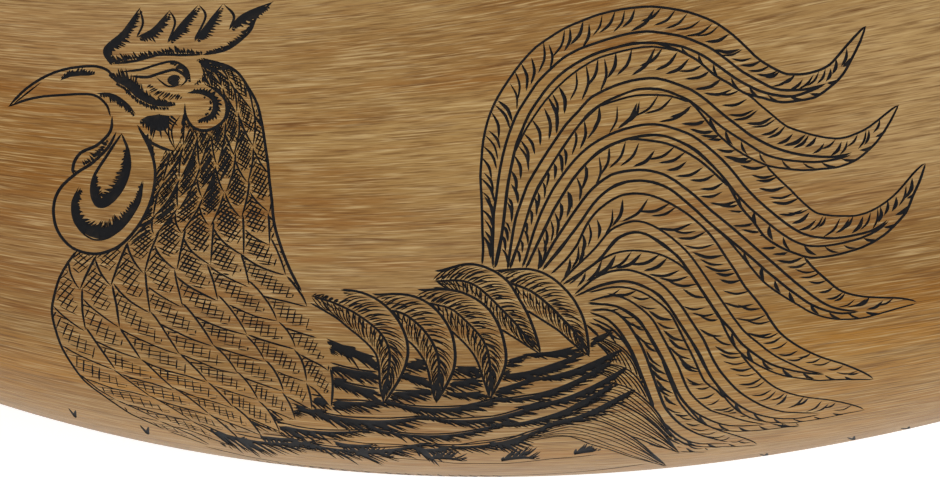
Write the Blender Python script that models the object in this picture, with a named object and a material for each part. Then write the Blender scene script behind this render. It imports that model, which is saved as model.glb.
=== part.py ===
"""A powder horn: a hollow, curved cow horn lying on its side, closed by a turned wooden plug and a stopper.

Lengths are in metres and +Z is up. The horn lies with its curve flat on the ground and opens
towards +Y, its wide mouth at +X and its spout pointing along +Y. A station is a distance along
the middle line of the horn from the wide mouth, and a turn is an angle around that line, from 0 at
the top, through 90 degrees on the inside of the bend, to 180 degrees at the bottom.
"""

import math

import bpy
import bmesh
from mathutils import Matrix, Vector

# The horn's middle line, in stations from the wide mouth.
HORN_LENGTH = 0.300
MOUTH_HEADING = math.radians(-22.0)  # way to the spout in plan, from -X towards +Y
SPOUT_HEADING = math.radians(90.0)
BEND_START = 0.020  # the mouth is straight as far as the plug reaches
BEND_RADIUS = 0.191  # where the bend starts, from where on it tightens
SPOUT_LENGTH = 0.043  # the straight, bored end
LEVEL_LENGTH = 0.030  # stretch over which the falling middle line turns level
LINE_STEP = 0.001

# The raw horn's outside, a long cone.
MOUTH_RADIUS = 0.0405
TAPER = 0.114  # loss of radius per length
RIM_EASING = 0.0008
REST_FLAT = 0.0003  # depth of the flat that the horn lies on

# The cavity.
WALL_AT_MOUTH = 0.0032
WALL_AT_SHOULDER = 0.0046
BORE_RADIUS = 0.0040
CAVITY_NOSE = 0.020  # length over which the cavity narrows to the bore
NOSE_TO_SHOULDER = 0.006

# The scraped neck, the strap ring and the lip.
SHOULDER_AT = 0.214
SHOULDER_DROP = 0.0018
SHOULDER_RUN = 0.0022
NECK_END_AT = 0.264
NECK_RADIUS = 0.0072
RING_LENGTH = 0.0075
RING_RADIUS = 0.0098
LIP_RADIUS = 0.0082
LIP_LENGTH = 0.006
LIP_EASING = 0.0010

# Two fine lines cut around the horn at each end of its body.
LINE_WIDTH = 0.0007
LINE_DEPTH = 0.00030
LINE_GAP = 0.0024
MOUTH_LINES_AT = 0.0150
SHOULDER_LINES_BACK = 0.0030  # from the shoulder to the nearer line

# The plug in the wide mouth, and its strap button.
PLUG_DEPTH = 0.0165
PLUG_CLEARANCE = 0.0004
SEAT_GAP = 0.0003
FLANGE_INSET = 0.0005  # the flange's edge under the horn's outside
FLANGE_THICKNESS = 0.0055
FLANGE_EASING = 0.0016
FLANGE_BACK_EASING = 0.0004
PLUG_END_EASING = 0.0010
DOME_RISE = 0.0065
BUTTON_NECK_RADIUS = 0.0056
BUTTON_NECK_LENGTH = 0.0060
BUTTON_RADIUS = 0.0105
BUTTON_THICKNESS = 0.0080
BUTTON_FACE_RADIUS = 0.0070

# The tacks through the horn into the plug.
TACK_COUNT = 6
TACK_AT = 0.0080
TACK_FIRST_TURN = math.radians(30.0)  # keeps the heads clear of the ground
TACK_HEAD_RADIUS = 0.0023
TACK_HEAD_HEIGHT = 0.0011
TACK_SHANK_RADIUS = 0.0008
TACK_LENGTH = 0.0090
TACK_POINT = 0.0025
TACK_TIP_RADIUS = 0.00024
TACK_CLEARANCE = 0.0003

# The stopper in the spout.
STOPPER_CLEARANCE = 0.0003
STOPPER_DEPTH = 0.0150
STOPPER_TAPER = 0.0005
STOPPER_END_EASING = 0.0006
COLLAR_RADIUS = 0.0070
COLLAR_THICKNESS = 0.0022
COLLAR_EASING = 0.0005
GRIP_NECK_RADIUS = 0.0034
GRIP_NECK_LENGTH = 0.0040
GRIP_RADIUS = 0.0068
GRIP_END_RADIUS = 0.0020
GRIP_LENGTH = 0.0130

# Fineness of the solids.
HORN_SIDES = 36
PLUG_SIDES = 32
TACK_SIDES = 12
STOPPER_SIDES = 18
BODY_RING_STEP = 0.0090
CAVITY_RING_STEP = 0.0150
NECK_RING_STEP = 0.0050
STRAP_RING_STEPS = 8
EASING_STEPS = 4
DOME_STEPS = 6
TACK_HEAD_STEPS = 5
GRIP_STEPS = 10


def smooth(share):
    """Rises from 0 to 1 with level ends, as share goes from 0 to 1."""
    share = min(max(share, 0.0), 1.0)
    return share * share * (3.0 - 2.0 * share)


def cone_radius(station):
    """Outside radius of the raw horn."""
    return MOUTH_RADIUS - TAPER * station


def spout_start():
    return HORN_LENGTH - SPOUT_LENGTH


def bend_growth():
    """How fast the bend tightens, so that it reaches the spout's heading where the spout starts."""
    run = spout_start() - BEND_START
    turned_evenly = run / BEND_RADIUS
    return 2.0 * (SPOUT_HEADING - MOUTH_HEADING - turned_evenly) / run**2


def heading(station):
    run = min(max(station, BEND_START), spout_start()) - BEND_START
    return MOUTH_HEADING + run / BEND_RADIUS + bend_growth() * run**2 / 2.0


def fall(station):
    """Downward slope of the middle line, which keeps the cone's underside level, as an angle."""
    level = smooth((station - spout_start() + LEVEL_LENGTH) / LEVEL_LENGTH)
    return math.atan(TAPER) * (1.0 - level)


def along(station):
    """Unit vector along the middle line towards the spout."""
    flat = math.cos(fall(station))
    turn = heading(station)
    return Vector((-math.cos(turn) * flat, math.sin(turn) * flat, -math.sin(fall(station))))


def inward(station):
    """Unit vector to the inside of the bend."""
    return Vector((math.sin(heading(station)), math.cos(heading(station)), 0.0))


def frame_at(station, middle):
    """Matrix at a station: X to the inside of the bend, Y up, Z towards the mouth."""
    side = inward(station)
    back = -along(station)
    up = back.cross(side)
    matrix = Matrix((side, up, back)).transposed().to_4x4()
    matrix.translation = middle
    return matrix


def trace_middle_line():
    """Points of the middle line, one for each LINE_STEP, starting over the mouth's rest."""
    point = Vector((0.0, 0.0, MOUTH_RADIUS * math.cos(fall(0.0)) - REST_FLAT))
    points = [point.copy()]
    for i in range(round(HORN_LENGTH / LINE_STEP)):
        point += along((i + 0.5) * LINE_STEP) * LINE_STEP
        points.append(point.copy())
    return points


MIDDLE_LINE = trace_middle_line()


def middle_at(station):
    place = min(max(station / LINE_STEP, 0.0), len(MIDDLE_LINE) - 1.0)
    low = min(int(place), len(MIDDLE_LINE) - 2)
    return MIDDLE_LINE[low].lerp(MIDDLE_LINE[low + 1], place - low)


def wall(station):
    share = min(station / SHOULDER_AT, 1.0)
    return WALL_AT_MOUTH + (WALL_AT_SHOULDER - WALL_AT_MOUTH) * share


def cavity_radius(station):
    """Radius of the powder room, narrowing to the bore beyond the shoulder."""
    open_radius = cone_radius(station) - wall(station)
    nose = smooth((station - SHOULDER_AT - NOSE_TO_SHOULDER) / CAVITY_NOSE)
    return open_radius + (BORE_RADIUS - open_radius) * nose


def neck_radius(station):
    """Outside radius of the scraped neck, falling in a hollow curve from the shoulder."""
    start = SHOULDER_AT + SHOULDER_RUN
    share = min(max((station - start) / (NECK_END_AT - start), 0.0), 1.0)
    top = cone_radius(start) - SHOULDER_DROP
    hollow = 1.0 - (1.0 - share) ** 1.5
    return top + (NECK_RADIUS - top) * hollow


def spread(start, end, step):
    """Even stations from start to end, both included, no further apart than step."""
    count = max(1, math.ceil((end - start) / step - 1e-6))
    return [start + (end - start) * i / count for i in range(count + 1)]


def cut_line(station):
    """The three rings of one fine line cut around the horn."""
    return [
        (station - LINE_WIDTH / 2, cone_radius(station - LINE_WIDTH / 2)),
        (station, cone_radius(station) - LINE_DEPTH),
        (station + LINE_WIDTH / 2, cone_radius(station + LINE_WIDTH / 2)),
    ]


def body_profile():
    """(station, radius) rings of the outside from the mouth to the shoulder."""
    lines_at = [
        MOUTH_LINES_AT,
        MOUTH_LINES_AT + LINE_GAP,
        SHOULDER_AT - SHOULDER_LINES_BACK - LINE_GAP,
        SHOULDER_AT - SHOULDER_LINES_BACK,
    ]
    rings = [(0.0, cone_radius(0.0) - RIM_EASING)]
    start = RIM_EASING
    for line in lines_at:
        plain = spread(start, line - LINE_WIDTH / 2, BODY_RING_STEP)[:-1]
        rings += [(s, cone_radius(s)) for s in plain]
        rings += cut_line(line)
        start = line + LINE_WIDTH
    rings.append((SHOULDER_AT, cone_radius(SHOULDER_AT)))
    return rings


def neck_profile():
    """(station, radius) rings of the outside from the shoulder to the lip."""
    start = SHOULDER_AT + SHOULDER_RUN
    rings = [(s, neck_radius(s)) for s in spread(start, NECK_END_AT, NECK_RING_STEP)]
    swell = RING_RADIUS - NECK_RADIUS
    for i in range(1, STRAP_RING_STEPS):
        angle = math.pi * i / STRAP_RING_STEPS
        station = NECK_END_AT + RING_LENGTH * (1.0 - math.cos(angle)) / 2
        rings.append((station, NECK_RADIUS + swell * math.sin(angle)))
    tube_end = HORN_LENGTH - LIP_LENGTH
    rings += [(s, NECK_RADIUS) for s in spread(NECK_END_AT + RING_LENGTH, tube_end, NECK_RING_STEP)]
    for share in (0.25, 0.5, 0.75):
        station = tube_end + (LIP_LENGTH - LIP_EASING) * share
        rings.append((station, NECK_RADIUS + (LIP_RADIUS - NECK_RADIUS) * smooth(share)))
    rings.append((HORN_LENGTH - LIP_EASING, LIP_RADIUS))
    rings.append((HORN_LENGTH, LIP_RADIUS - LIP_EASING))
    return rings


def cavity_profile():
    """(station, radius) rings of the inside, from the spout back to the mouth."""
    nose_start = SHOULDER_AT + NOSE_TO_SHOULDER
    nose_end = nose_start + CAVITY_NOSE
    stations = spread(0.0, BEND_START, BEND_START)
    stations += spread(BEND_START, nose_start, CAVITY_RING_STEP)[1:]
    stations += spread(nose_start, nose_end, NECK_RING_STEP)[1:]
    stations += spread(nose_end, HORN_LENGTH, NECK_RING_STEP * 2)[1:]
    return [(s, cavity_radius(s)) for s in reversed(stations)]


def horn_ring(mesh, station, radius):
    """One closed ring of vertices around the middle line, with the outside worn flat at the ground."""
    place = frame_at(station, middle_at(station))
    ring = []
    for i in range(HORN_SIDES):
        turn = 2.0 * math.pi * (i + 0.5) / HORN_SIDES
        point = place @ Vector((radius * math.sin(turn), radius * math.cos(turn), 0.0))
        point.z = max(point.z, 0.0)
        ring.append(mesh.verts.new(point))
    return ring


def join_rings(mesh, first, second):
    """A band of four-sided faces between two rings with as many vertices each."""
    count = len(first)
    for i in range(count):
        j = (i + 1) % count
        mesh.faces.new((first[i], first[j], second[j], second[i]))


def make_object(name, mesh, material):
    """Turns a bmesh into a smooth-shaded object with one material."""
    bmesh.ops.recalc_face_normals(mesh, faces=mesh.faces)
    data = bpy.data.meshes.new(name)
    mesh.to_mesh(data)
    mesh.free()
    data.materials.append(material)
    data.shade_smooth()
    data.set_sharp_from_angle(angle=math.radians(40.0))
    made = bpy.data.objects.new(name, data)
    bpy.context.scene.collection.objects.link(made)
    return made


def make_material(name, colour, roughness, metallic=0.0):
    material = bpy.data.materials.new(name)
    material.use_nodes = True
    shader = material.node_tree.nodes["Principled BSDF"]
    shader.inputs["Base Color"].default_value = (*colour, 1.0)
    shader.inputs["Roughness"].default_value = roughness
    shader.inputs["Metallic"].default_value = metallic
    return material


def turned(name, profile, sides, material, place):
    """A solid turned about the Z axis of place, from (radius, height) points that start and end on that axis."""
    mesh = bmesh.new()
    rings = []
    for radius, height in profile[1:-1]:
        ring = []
        for i in range(sides):
            turn = 2.0 * math.pi * i / sides
            ring.append(mesh.verts.new((radius * math.cos(turn), radius * math.sin(turn), height)))
        rings.append(ring)
    for first, second in zip(rings, rings[1:]):
        join_rings(mesh, first, second)
    for ring, end in ((rings[0], profile[0]), (rings[-1], profile[-1])):
        tip = mesh.verts.new((0.0, 0.0, end[1]))
        for i in range(sides):
            mesh.faces.new((ring[i], ring[(i + 1) % sides], tip))
    made = make_object(name, mesh, material)
    made.matrix_world = place
    return made


def build_horn(material):
    """The whole horn: body, neck, strap ring and spout, with the powder room and bore inside."""
    mesh = bmesh.new()
    profile = body_profile() + neck_profile() + cavity_profile()
    rings = [horn_ring(mesh, station, radius) for station, radius in profile]
    for first, second in zip(rings, rings[1:] + rings[:1]):
        join_rings(mesh, first, second)
    return make_object("horn", mesh, material)


def plug_profile():
    """(radius, height) points of the plug, from inside the horn to its button's face."""
    seat = cavity_radius(0.0) - PLUG_CLEARANCE
    inner_end = cavity_radius(PLUG_DEPTH) - PLUG_CLEARANCE
    edge = MOUTH_RADIUS - FLANGE_INSET
    outer = SEAT_GAP + FLANGE_THICKNESS
    points = [(0.0, -PLUG_DEPTH), (inner_end - PLUG_END_EASING, -PLUG_DEPTH)]
    points += [(inner_end, -PLUG_DEPTH + PLUG_END_EASING), (seat, SEAT_GAP)]
    points += [(edge - FLANGE_BACK_EASING, SEAT_GAP), (edge, SEAT_GAP + FLANGE_BACK_EASING)]
    for i in range(EASING_STEPS + 1):
        angle = math.pi / 2 * i / EASING_STEPS
        shoulder = FLANGE_EASING * (1.0 - math.sin(angle))
        points.append((edge - FLANGE_EASING * (1.0 - math.cos(angle)), outer - shoulder))
    top = outer + DOME_RISE
    dome_edge = edge - FLANGE_EASING
    for i in range(1, DOME_STEPS):
        share = i / DOME_STEPS
        radius = dome_edge + (BUTTON_NECK_RADIUS - dome_edge) * share
        points.append((radius, outer + DOME_RISE * math.sin(math.pi / 2 * share)))
    points.append((BUTTON_NECK_RADIUS, top))
    button = top + BUTTON_NECK_LENGTH
    points.append((BUTTON_NECK_RADIUS, button))
    for i in range(1, DOME_STEPS):
        angle = math.pi * i / DOME_STEPS
        bulge = BUTTON_RADIUS - BUTTON_FACE_RADIUS
        height = button + BUTTON_THICKNESS * (1.0 - math.cos(angle)) / 2
        points.append((BUTTON_FACE_RADIUS + bulge * math.sin(angle), height))
    face = button + BUTTON_THICKNESS
    return points + [(BUTTON_FACE_RADIUS, face), (0.0, face)]


def tack_profile():
    """(radius, height) points of a domed tack, from its point up to the top of its head."""
    under = TACK_CLEARANCE
    points = [(0.0, -TACK_LENGTH), (TACK_TIP_RADIUS, -TACK_LENGTH + TACK_TIP_RADIUS)]
    points += [(TACK_SHANK_RADIUS, -TACK_LENGTH + TACK_POINT), (TACK_SHANK_RADIUS, under)]
    points.append((TACK_HEAD_RADIUS, under))
    for i in range(1, TACK_HEAD_STEPS):
        angle = math.pi / 2 * i / TACK_HEAD_STEPS
        height = under + TACK_HEAD_HEIGHT * math.sin(angle)
        points.append((TACK_HEAD_RADIUS * math.cos(angle), height))
    return points + [(0.0, under + TACK_HEAD_HEIGHT)]


def tack_places():
    """A matrix for each tack, at the horn's outside with Z pointing straight out of it."""
    places = []
    base = frame_at(TACK_AT, middle_at(TACK_AT))
    for i in range(TACK_COUNT):
        turn = TACK_FIRST_TURN + 2.0 * math.pi * i / TACK_COUNT
        around = Matrix.Rotation(-turn, 4, "Z") @ Matrix.Rotation(-math.pi / 2, 4, "X")
        lean = Matrix.Rotation(-math.atan(TAPER), 4, "X")
        places.append(base @ around @ Matrix.Translation((0.0, 0.0, cone_radius(TACK_AT))) @ lean)
    return places


def drill(solid, places):
    """Cuts a round hole for each tack out of a solid."""
    radius = TACK_SHANK_RADIUS + TACK_CLEARANCE
    reach = TACK_LENGTH + TACK_CLEARANCE
    for i, place in enumerate(places):
        profile = [(0.0, -reach), (radius, -reach), (radius, reach), (0.0, reach)]
        cutter = turned(f"{solid.name}_drill_{i + 1}", profile, TACK_SIDES, None, place)
        cutter.hide_render = True
        cutter.display_type = "WIRE"
        cut = solid.modifiers.new(f"tack_hole_{i + 1}", "BOOLEAN")
        cut.operation = "DIFFERENCE"
        cut.object = cutter


def stopper_profile():
    """(radius, height) points of the stopper, from inside the spout out to the end of its grip."""
    shank = BORE_RADIUS - STOPPER_CLEARANCE
    tip = shank - STOPPER_TAPER
    top = STOPPER_CLEARANCE + COLLAR_THICKNESS
    inside = COLLAR_RADIUS - COLLAR_EASING
    points = [(0.0, -STOPPER_DEPTH), (tip - STOPPER_END_EASING, -STOPPER_DEPTH)]
    points += [(tip, -STOPPER_DEPTH + STOPPER_END_EASING), (shank, STOPPER_CLEARANCE)]
    points += [(inside, STOPPER_CLEARANCE), (COLLAR_RADIUS, STOPPER_CLEARANCE + COLLAR_EASING)]
    points += [(COLLAR_RADIUS, top - COLLAR_EASING), (inside, top), (GRIP_NECK_RADIUS, top)]
    grip = top + GRIP_NECK_LENGTH
    points.append((GRIP_NECK_RADIUS, grip))
    for i in range(1, GRIP_STEPS):
        angle = math.pi * i / GRIP_STEPS
        height = grip + GRIP_LENGTH * (1.0 - math.cos(angle)) / 2
        points.append((max(GRIP_RADIUS * math.sin(angle), GRIP_END_RADIUS), height))
    return points + [(0.0, grip + GRIP_LENGTH)]


def centre_over_origin(objects):
    """Puts the middle of the whole object's footprint over the origin, by one parent empty."""
    points = [o.matrix_world @ v.co for o in objects for v in o.data.vertices]
    low = Vector(min(p[axis] for p in points) for axis in range(3))
    high = Vector(max(p[axis] for p in points) for axis in range(3))
    row = bpy.data.objects.new("powder_horn", None)
    bpy.context.scene.collection.objects.link(row)
    for made in bpy.context.scene.objects:
        if made is not row and made.parent is None:
            made.parent = row
    row.location = (-(low.x + high.x) / 2, -(low.y + high.y) / 2, 0.0)


def main():
    for leftover in list(bpy.data.objects):
        bpy.data.objects.remove(leftover)
    horn_colour = make_material("horn", (0.34, 0.21, 0.09), 0.35)
    wood = make_material("plug_wood", (0.13, 0.055, 0.022), 0.5)
    brass = make_material("brass", (0.60, 0.42, 0.16), 0.35, 1.0)
    stopper_wood = make_material("stopper_wood", (0.16, 0.07, 0.03), 0.45)

    horn = build_horn(horn_colour)
    mouth = frame_at(0.0, middle_at(0.0))
    plug = turned("butt_plug", plug_profile(), PLUG_SIDES, wood, mouth)
    places = tack_places()
    tacks = [
        turned(f"tack_{i + 1}", tack_profile(), TACK_SIDES, brass, place)
        for i, place in enumerate(places)
    ]
    drill(horn, places)
    drill(plug, places)
    spout = frame_at(HORN_LENGTH, middle_at(HORN_LENGTH)) @ Matrix.Rotation(math.pi, 4, "X")
    stopper = turned("stopper", stopper_profile(), STOPPER_SIDES, stopper_wood, spout)
    bpy.context.view_layer.update()
    centre_over_origin([horn, plug, stopper, *tacks])


main()
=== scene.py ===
"""The looks of the scrimshaw powder horn: engraved horn, turned wood, brass tacks and the studio.

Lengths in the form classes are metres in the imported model's frame. Lengths on the drawing sheet are
millimetres, with x to the right and y down from the sheet's top left corner, as the drawing is seen
from straight above the horn.
"""

import logging
import math
from collections.abc import Callable, Sequence
from dataclasses import dataclass, field
from enum import Enum

import bpy
import numpy as np
from mathutils import Matrix, Vector
from mathutils.geometry import delaunay_2d_cdt


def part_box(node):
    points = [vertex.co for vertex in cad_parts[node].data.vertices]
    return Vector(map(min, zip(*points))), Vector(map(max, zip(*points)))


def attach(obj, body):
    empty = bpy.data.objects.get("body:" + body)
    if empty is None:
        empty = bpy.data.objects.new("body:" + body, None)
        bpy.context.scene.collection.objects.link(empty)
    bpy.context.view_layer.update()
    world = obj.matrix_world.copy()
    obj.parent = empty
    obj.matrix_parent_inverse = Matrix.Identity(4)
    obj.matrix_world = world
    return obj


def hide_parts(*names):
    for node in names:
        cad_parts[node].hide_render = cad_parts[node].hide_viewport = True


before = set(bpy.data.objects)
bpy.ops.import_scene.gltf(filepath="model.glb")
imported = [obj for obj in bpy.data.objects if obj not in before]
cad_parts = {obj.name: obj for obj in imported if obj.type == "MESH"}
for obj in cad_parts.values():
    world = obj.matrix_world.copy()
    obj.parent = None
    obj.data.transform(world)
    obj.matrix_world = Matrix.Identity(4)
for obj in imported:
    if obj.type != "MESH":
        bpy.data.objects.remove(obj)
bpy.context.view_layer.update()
LOG = logging.getLogger("powder_horn")
MM = 0.001

Point = tuple[float, float]
Place = tuple[float, float, float]
Line = tuple[Point, ...]
Profile = list[Point]
Ring = tuple[float, float, bool]
Array = np.ndarray
Piece = bpy.types.Object
Material = bpy.types.Material
Socket = bpy.types.NodeSocket
NEVER_ZERO = 1e-12
SHARP_EDGE = math.radians(50.0)


def smooth(share: Array) -> Array:
    """Shares from 0 to 1, eased so that both ends are level."""
    share = np.clip(share, 0.0, 1.0)
    return share * share * (3.0 - 2.0 * share)


def unit(vectors: Array) -> Array:
    """Rows of vectors, each scaled to length one."""
    length = np.linalg.norm(vectors, axis=-1, keepdims=True)
    return vectors / np.maximum(length, NEVER_ZERO)


@dataclass
class HornForm:
    """The horn's middle line and radii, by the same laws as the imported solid.

    A station is a distance along the middle line from the wide mouth. A turn is an angle around that
    line, from 0 at the top, through a right angle on the inside of the bend.
    """

    length: float = 0.300
    mouth_heading: float = math.radians(-22.0)
    spout_heading: float = math.radians(90.0)
    bend_start: float = 0.020
    bend_radius: float = 0.191
    spout_length: float = 0.043
    level_length: float = 0.030
    line_step: float = 0.001
    mouth_radius: float = 0.0405
    taper: float = 0.114
    rest_flat: float = 0.0003
    wall_at_mouth: float = 0.0032
    wall_at_shoulder: float = 0.0046
    bore_radius: float = 0.0040
    cavity_nose: float = 0.020
    nose_to_shoulder: float = 0.006
    shoulder_at: float = 0.214
    shoulder_drop: float = 0.0018
    shoulder_run: float = 0.0022
    neck_end_at: float = 0.264
    neck_radius: float = 0.0072
    stopper_depth: float = 0.0150

    def __post_init__(self) -> None:
        """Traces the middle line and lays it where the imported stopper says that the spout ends."""
        self.spout_start = self.length - self.spout_length
        run = self.spout_start - self.bend_start
        rest = self.spout_heading - self.mouth_heading - run / self.bend_radius
        self.bend_growth = 2.0 * rest / run**2
        count = round(self.length / self.line_step)
        steps = self.along((np.arange(count) + 0.5) * self.line_step) * self.line_step
        height = self.mouth_radius * math.cos(math.atan(self.taper)) - self.rest_flat
        start = np.array([0.0, 0.0, height])
        self.line = np.vstack([start, start + np.cumsum(steps, axis=0)])
        low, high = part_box("stopper")
        spout_end = np.array([(low[0] + high[0]) / 2, low[1] + self.stopper_depth])
        self.line[:, :2] += spout_end - self.line[-1, :2]
        self.marks = np.arange(count + 1) * self.line_step

    def bend_run(self, station: Array) -> Array:
        """Distance into the bend at a station."""
        return np.clip(station, self.bend_start, self.spout_start) - self.bend_start

    def heading(self, station: Array) -> Array:
        """Way to the spout in plan, as an angle from -X towards +Y."""
        run = self.bend_run(station)
        return self.mouth_heading + run / self.bend_radius + self.bend_growth * run**2 / 2.0

    def fall(self, station: Array) -> Array:
        """Downward slope of the middle line as an angle."""
        level = smooth((station - self.spout_start + self.level_length) / self.level_length)
        return math.atan(self.taper) * (1.0 - level)

    def along(self, station: Array) -> Array:
        """Unit vectors along the middle line towards the spout.

        Args:
            station: Distances from the mouth.

        Returns:
            Rows of vectors.
        """
        way = self.heading(station)
        fall = self.fall(station)
        flat = np.cos(fall)
        return np.stack([-np.cos(way) * flat, np.sin(way) * flat, -np.sin(fall)], axis=-1)

    def inward(self, station: Array) -> Array:
        """Unit vectors to the inside of the bend."""
        way = self.heading(station)
        return np.stack([np.sin(way), np.cos(way), np.zeros_like(way)], axis=-1)

    def middle(self, station: Array) -> Array:
        """Points of the middle line."""
        return points_at(self.line, self.marks, station)

    def radial(self, station: Array, turn: Array) -> Array:
        """Unit vectors out from the middle line at a turn.

        Args:
            station: Distances from the mouth.
            turn: Angles around the middle line.

        Returns:
            Rows of vectors.
        """
        side = self.inward(station)
        up = np.cross(-self.along(station), side)
        return np.cos(turn)[..., None] * up + np.sin(turn)[..., None] * side

    def point(self, station: Array, turn: Array, radius: Array) -> Array:
        """Points at a radius around the middle line.

        Args:
            station: Distances from the mouth.
            turn: Angles around the middle line.
            radius: Distances out from the middle line.

        Returns:
            Rows of points, with none below the ground.
        """
        place = self.middle(station) + radius[..., None] * self.radial(station, turn)
        place[..., 2] = np.maximum(place[..., 2], 0.0)
        return place

    def cone_radius(self, station: Array) -> Array:
        """Outside radius of the raw horn."""
        return self.mouth_radius - self.taper * station

    def skin_normal(self, station: Array, turn: Array) -> Array:
        """Outward normals of the raw horn's outside.

        Args:
            station: Distances from the mouth.
            turn: Angles around the middle line.

        Returns:
            Rows of unit normals.
        """
        bend = 1.0 / self.bend_radius + self.bend_growth * self.bend_run(station)
        shrink = 1.0 - bend * self.cone_radius(station) * np.sin(turn)
        out = self.radial(station, turn) * shrink[..., None]
        return unit(out + self.along(station) * self.taper)

    def cavity_radius(self, station: Array) -> Array:
        """Radius of the powder room and the bore.

        Args:
            station: Distances from the mouth.

        Returns:
            The radii.
        """
        share = np.minimum(station / self.shoulder_at, 1.0)
        wall = self.wall_at_mouth + (self.wall_at_shoulder - self.wall_at_mouth) * share
        room = self.cone_radius(station) - wall
        nose = smooth((station - self.shoulder_at - self.nose_to_shoulder) / self.cavity_nose)
        return room + (self.bore_radius - room) * nose

    def neck(self, station: Array) -> Array:
        """Outside radius of the scraped neck.

        Args:
            station: Distances from the mouth.

        Returns:
            The radii.
        """
        start = self.shoulder_at + self.shoulder_run
        share = np.clip((station - start) / (self.neck_end_at - start), 0.0, 1.0)
        top = self.cone_radius(np.asarray(start)) - self.shoulder_drop
        return top + (self.neck_radius - top) * (1.0 - (1.0 - share) ** 1.5)

    def frame_at(self, station: float) -> Matrix:
        """A matrix with X to the inside of the bend, Y up and Z towards the mouth.

        Args:
            station: Distance from the mouth.

        Returns:
            The matrix at that station of the middle line.
        """
        where = np.asarray(station)
        side = Vector(self.inward(where))
        back = Vector(-self.along(where))
        matrix = Matrix((side, back.cross(side), back)).transposed().to_4x4()
        matrix.translation = Vector(self.middle(where))
        return matrix


@dataclass
class Eye:
    """The place straight above the horn that the drawing and the camera look down from."""

    centre: Point = (0.01683, -0.07418)
    roll: float = math.radians(-3.097)
    height: float = 0.835
    drop: float = 0.800
    wide: float = 95.92
    tall: float = 49.90

    def sheet(self, points: Array) -> Array:
        """Where points of the model are seen on the drawing sheet.

        Args:
            points: Rows of points in metres.

        Returns:
            Rows of (x, y) in millimetres on the sheet.
        """
        flat = points[..., :2] - np.array(self.centre)
        near = self.drop / (self.height - points[..., 2]) / MM
        across = flat[..., 0] * math.cos(self.roll) + flat[..., 1] * math.sin(self.roll)
        upward = flat[..., 1] * math.cos(self.roll) - flat[..., 0] * math.sin(self.roll)
        return np.stack([self.wide / 2 + across * near, self.tall / 2 - upward * near], axis=-1)


@dataclass
class Press:
    """Lays the flat drawing on the horn, so that it looks undistorted from the eye."""

    form: HornForm
    eye: Eye
    first: Point = (0.010, 0.140)
    turns: Point = (math.radians(-97.0), math.radians(60.0))
    mesh_step: float = 2.0
    samples: tuple[int, int] = (131, 158)
    margin: Place = (6.0, 16.0, 4.0)
    rounds: int = 6
    nudge: float = 1e-5
    flattest: float = 1e3
    longest_steps: Point = (0.004, 0.2)

    def seen(self, station: Array, turn: Array) -> Array:
        """Where places on the horn are seen on the sheet."""
        return self.eye.sheet(self.form.point(station, turn, self.form.cone_radius(station)))

    def __post_init__(self) -> None:
        """Finds rough places for a coarse grid of the sheet, from which the exact ones are found."""
        station, turn = np.meshgrid(
            np.linspace(*self.first, self.samples[0]),
            np.linspace(*self.turns, self.samples[1]),
            indexing="ij",
        )
        seen = self.seen(station, turn)
        aside, above, below = self.margin
        self.columns = np.arange(-aside, self.eye.wide + aside, self.mesh_step)
        self.rows = np.arange(-above, self.eye.tall + below, self.mesh_step)
        self.rough = np.zeros((len(self.columns), len(self.rows), 2))
        for i, x in enumerate(self.columns):
            for j, y in enumerate(self.rows):
                best = np.argmin((seen[..., 0] - x) ** 2 + (seen[..., 1] - y) ** 2)
                self.rough[i, j] = station.flat[best], turn.flat[best]

    def lay(self, points: Array) -> Array:
        """Places on the horn for points of the sheet.

        Args:
            points: Rows of (x, y) in millimetres on the sheet.

        Returns:
            Rows of (station, turn).
        """
        i = np.clip((points[:, 0] - self.columns[0]) / self.mesh_step, 0, len(self.columns) - 1.001)
        j = np.clip((points[:, 1] - self.rows[0]) / self.mesh_step, 0, len(self.rows) - 1.001)
        low_i = i.astype(int)
        low_j = j.astype(int)
        part_i = (i - low_i)[:, None]
        part_j = (j - low_j)[:, None]
        upper = self.rough[low_i, low_j] * (1 - part_j) + self.rough[low_i, low_j + 1] * part_j
        lower = (
            self.rough[low_i + 1, low_j] * (1 - part_j) + self.rough[low_i + 1, low_j + 1] * part_j
        )
        found = upper * (1 - part_i) + lower * part_i
        nudge = self.nudge
        for _ in range(self.rounds):
            here = self.seen(found[:, 0], found[:, 1])
            by_station = (self.seen(found[:, 0] + nudge, found[:, 1]) - here) / nudge
            by_turn = (self.seen(found[:, 0], found[:, 1] + nudge) - here) / nudge
            miss = points - here
            scale = by_station[:, 0] * by_turn[:, 1] - by_station[:, 1] * by_turn[:, 0]
            least = np.copysign(self.flattest, scale)
            scale = np.where(np.abs(scale) < self.flattest, least, scale)
            go_station = (miss[:, 0] * by_turn[:, 1] - miss[:, 1] * by_turn[:, 0]) / scale
            go_turn = (miss[:, 1] * by_station[:, 0] - miss[:, 0] * by_station[:, 1]) / scale
            for k, go, ends in ((0, go_station, self.first), (1, go_turn, self.turns)):
                most = self.longest_steps[k]
                found[:, k] = np.clip(found[:, k] + np.clip(go, -most, most), *ends)
        return found


def shares_of(count: int) -> Array:
    """Even shares from 0 to 1."""
    return np.linspace(0.0, 1.0, count)


def points_at(line: Array, marks: Array, wanted: Array) -> Array:
    """Points of a line where its marks would have the wanted values."""
    return np.stack([np.interp(wanted, marks, column) for column in line.T], axis=-1)


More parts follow.
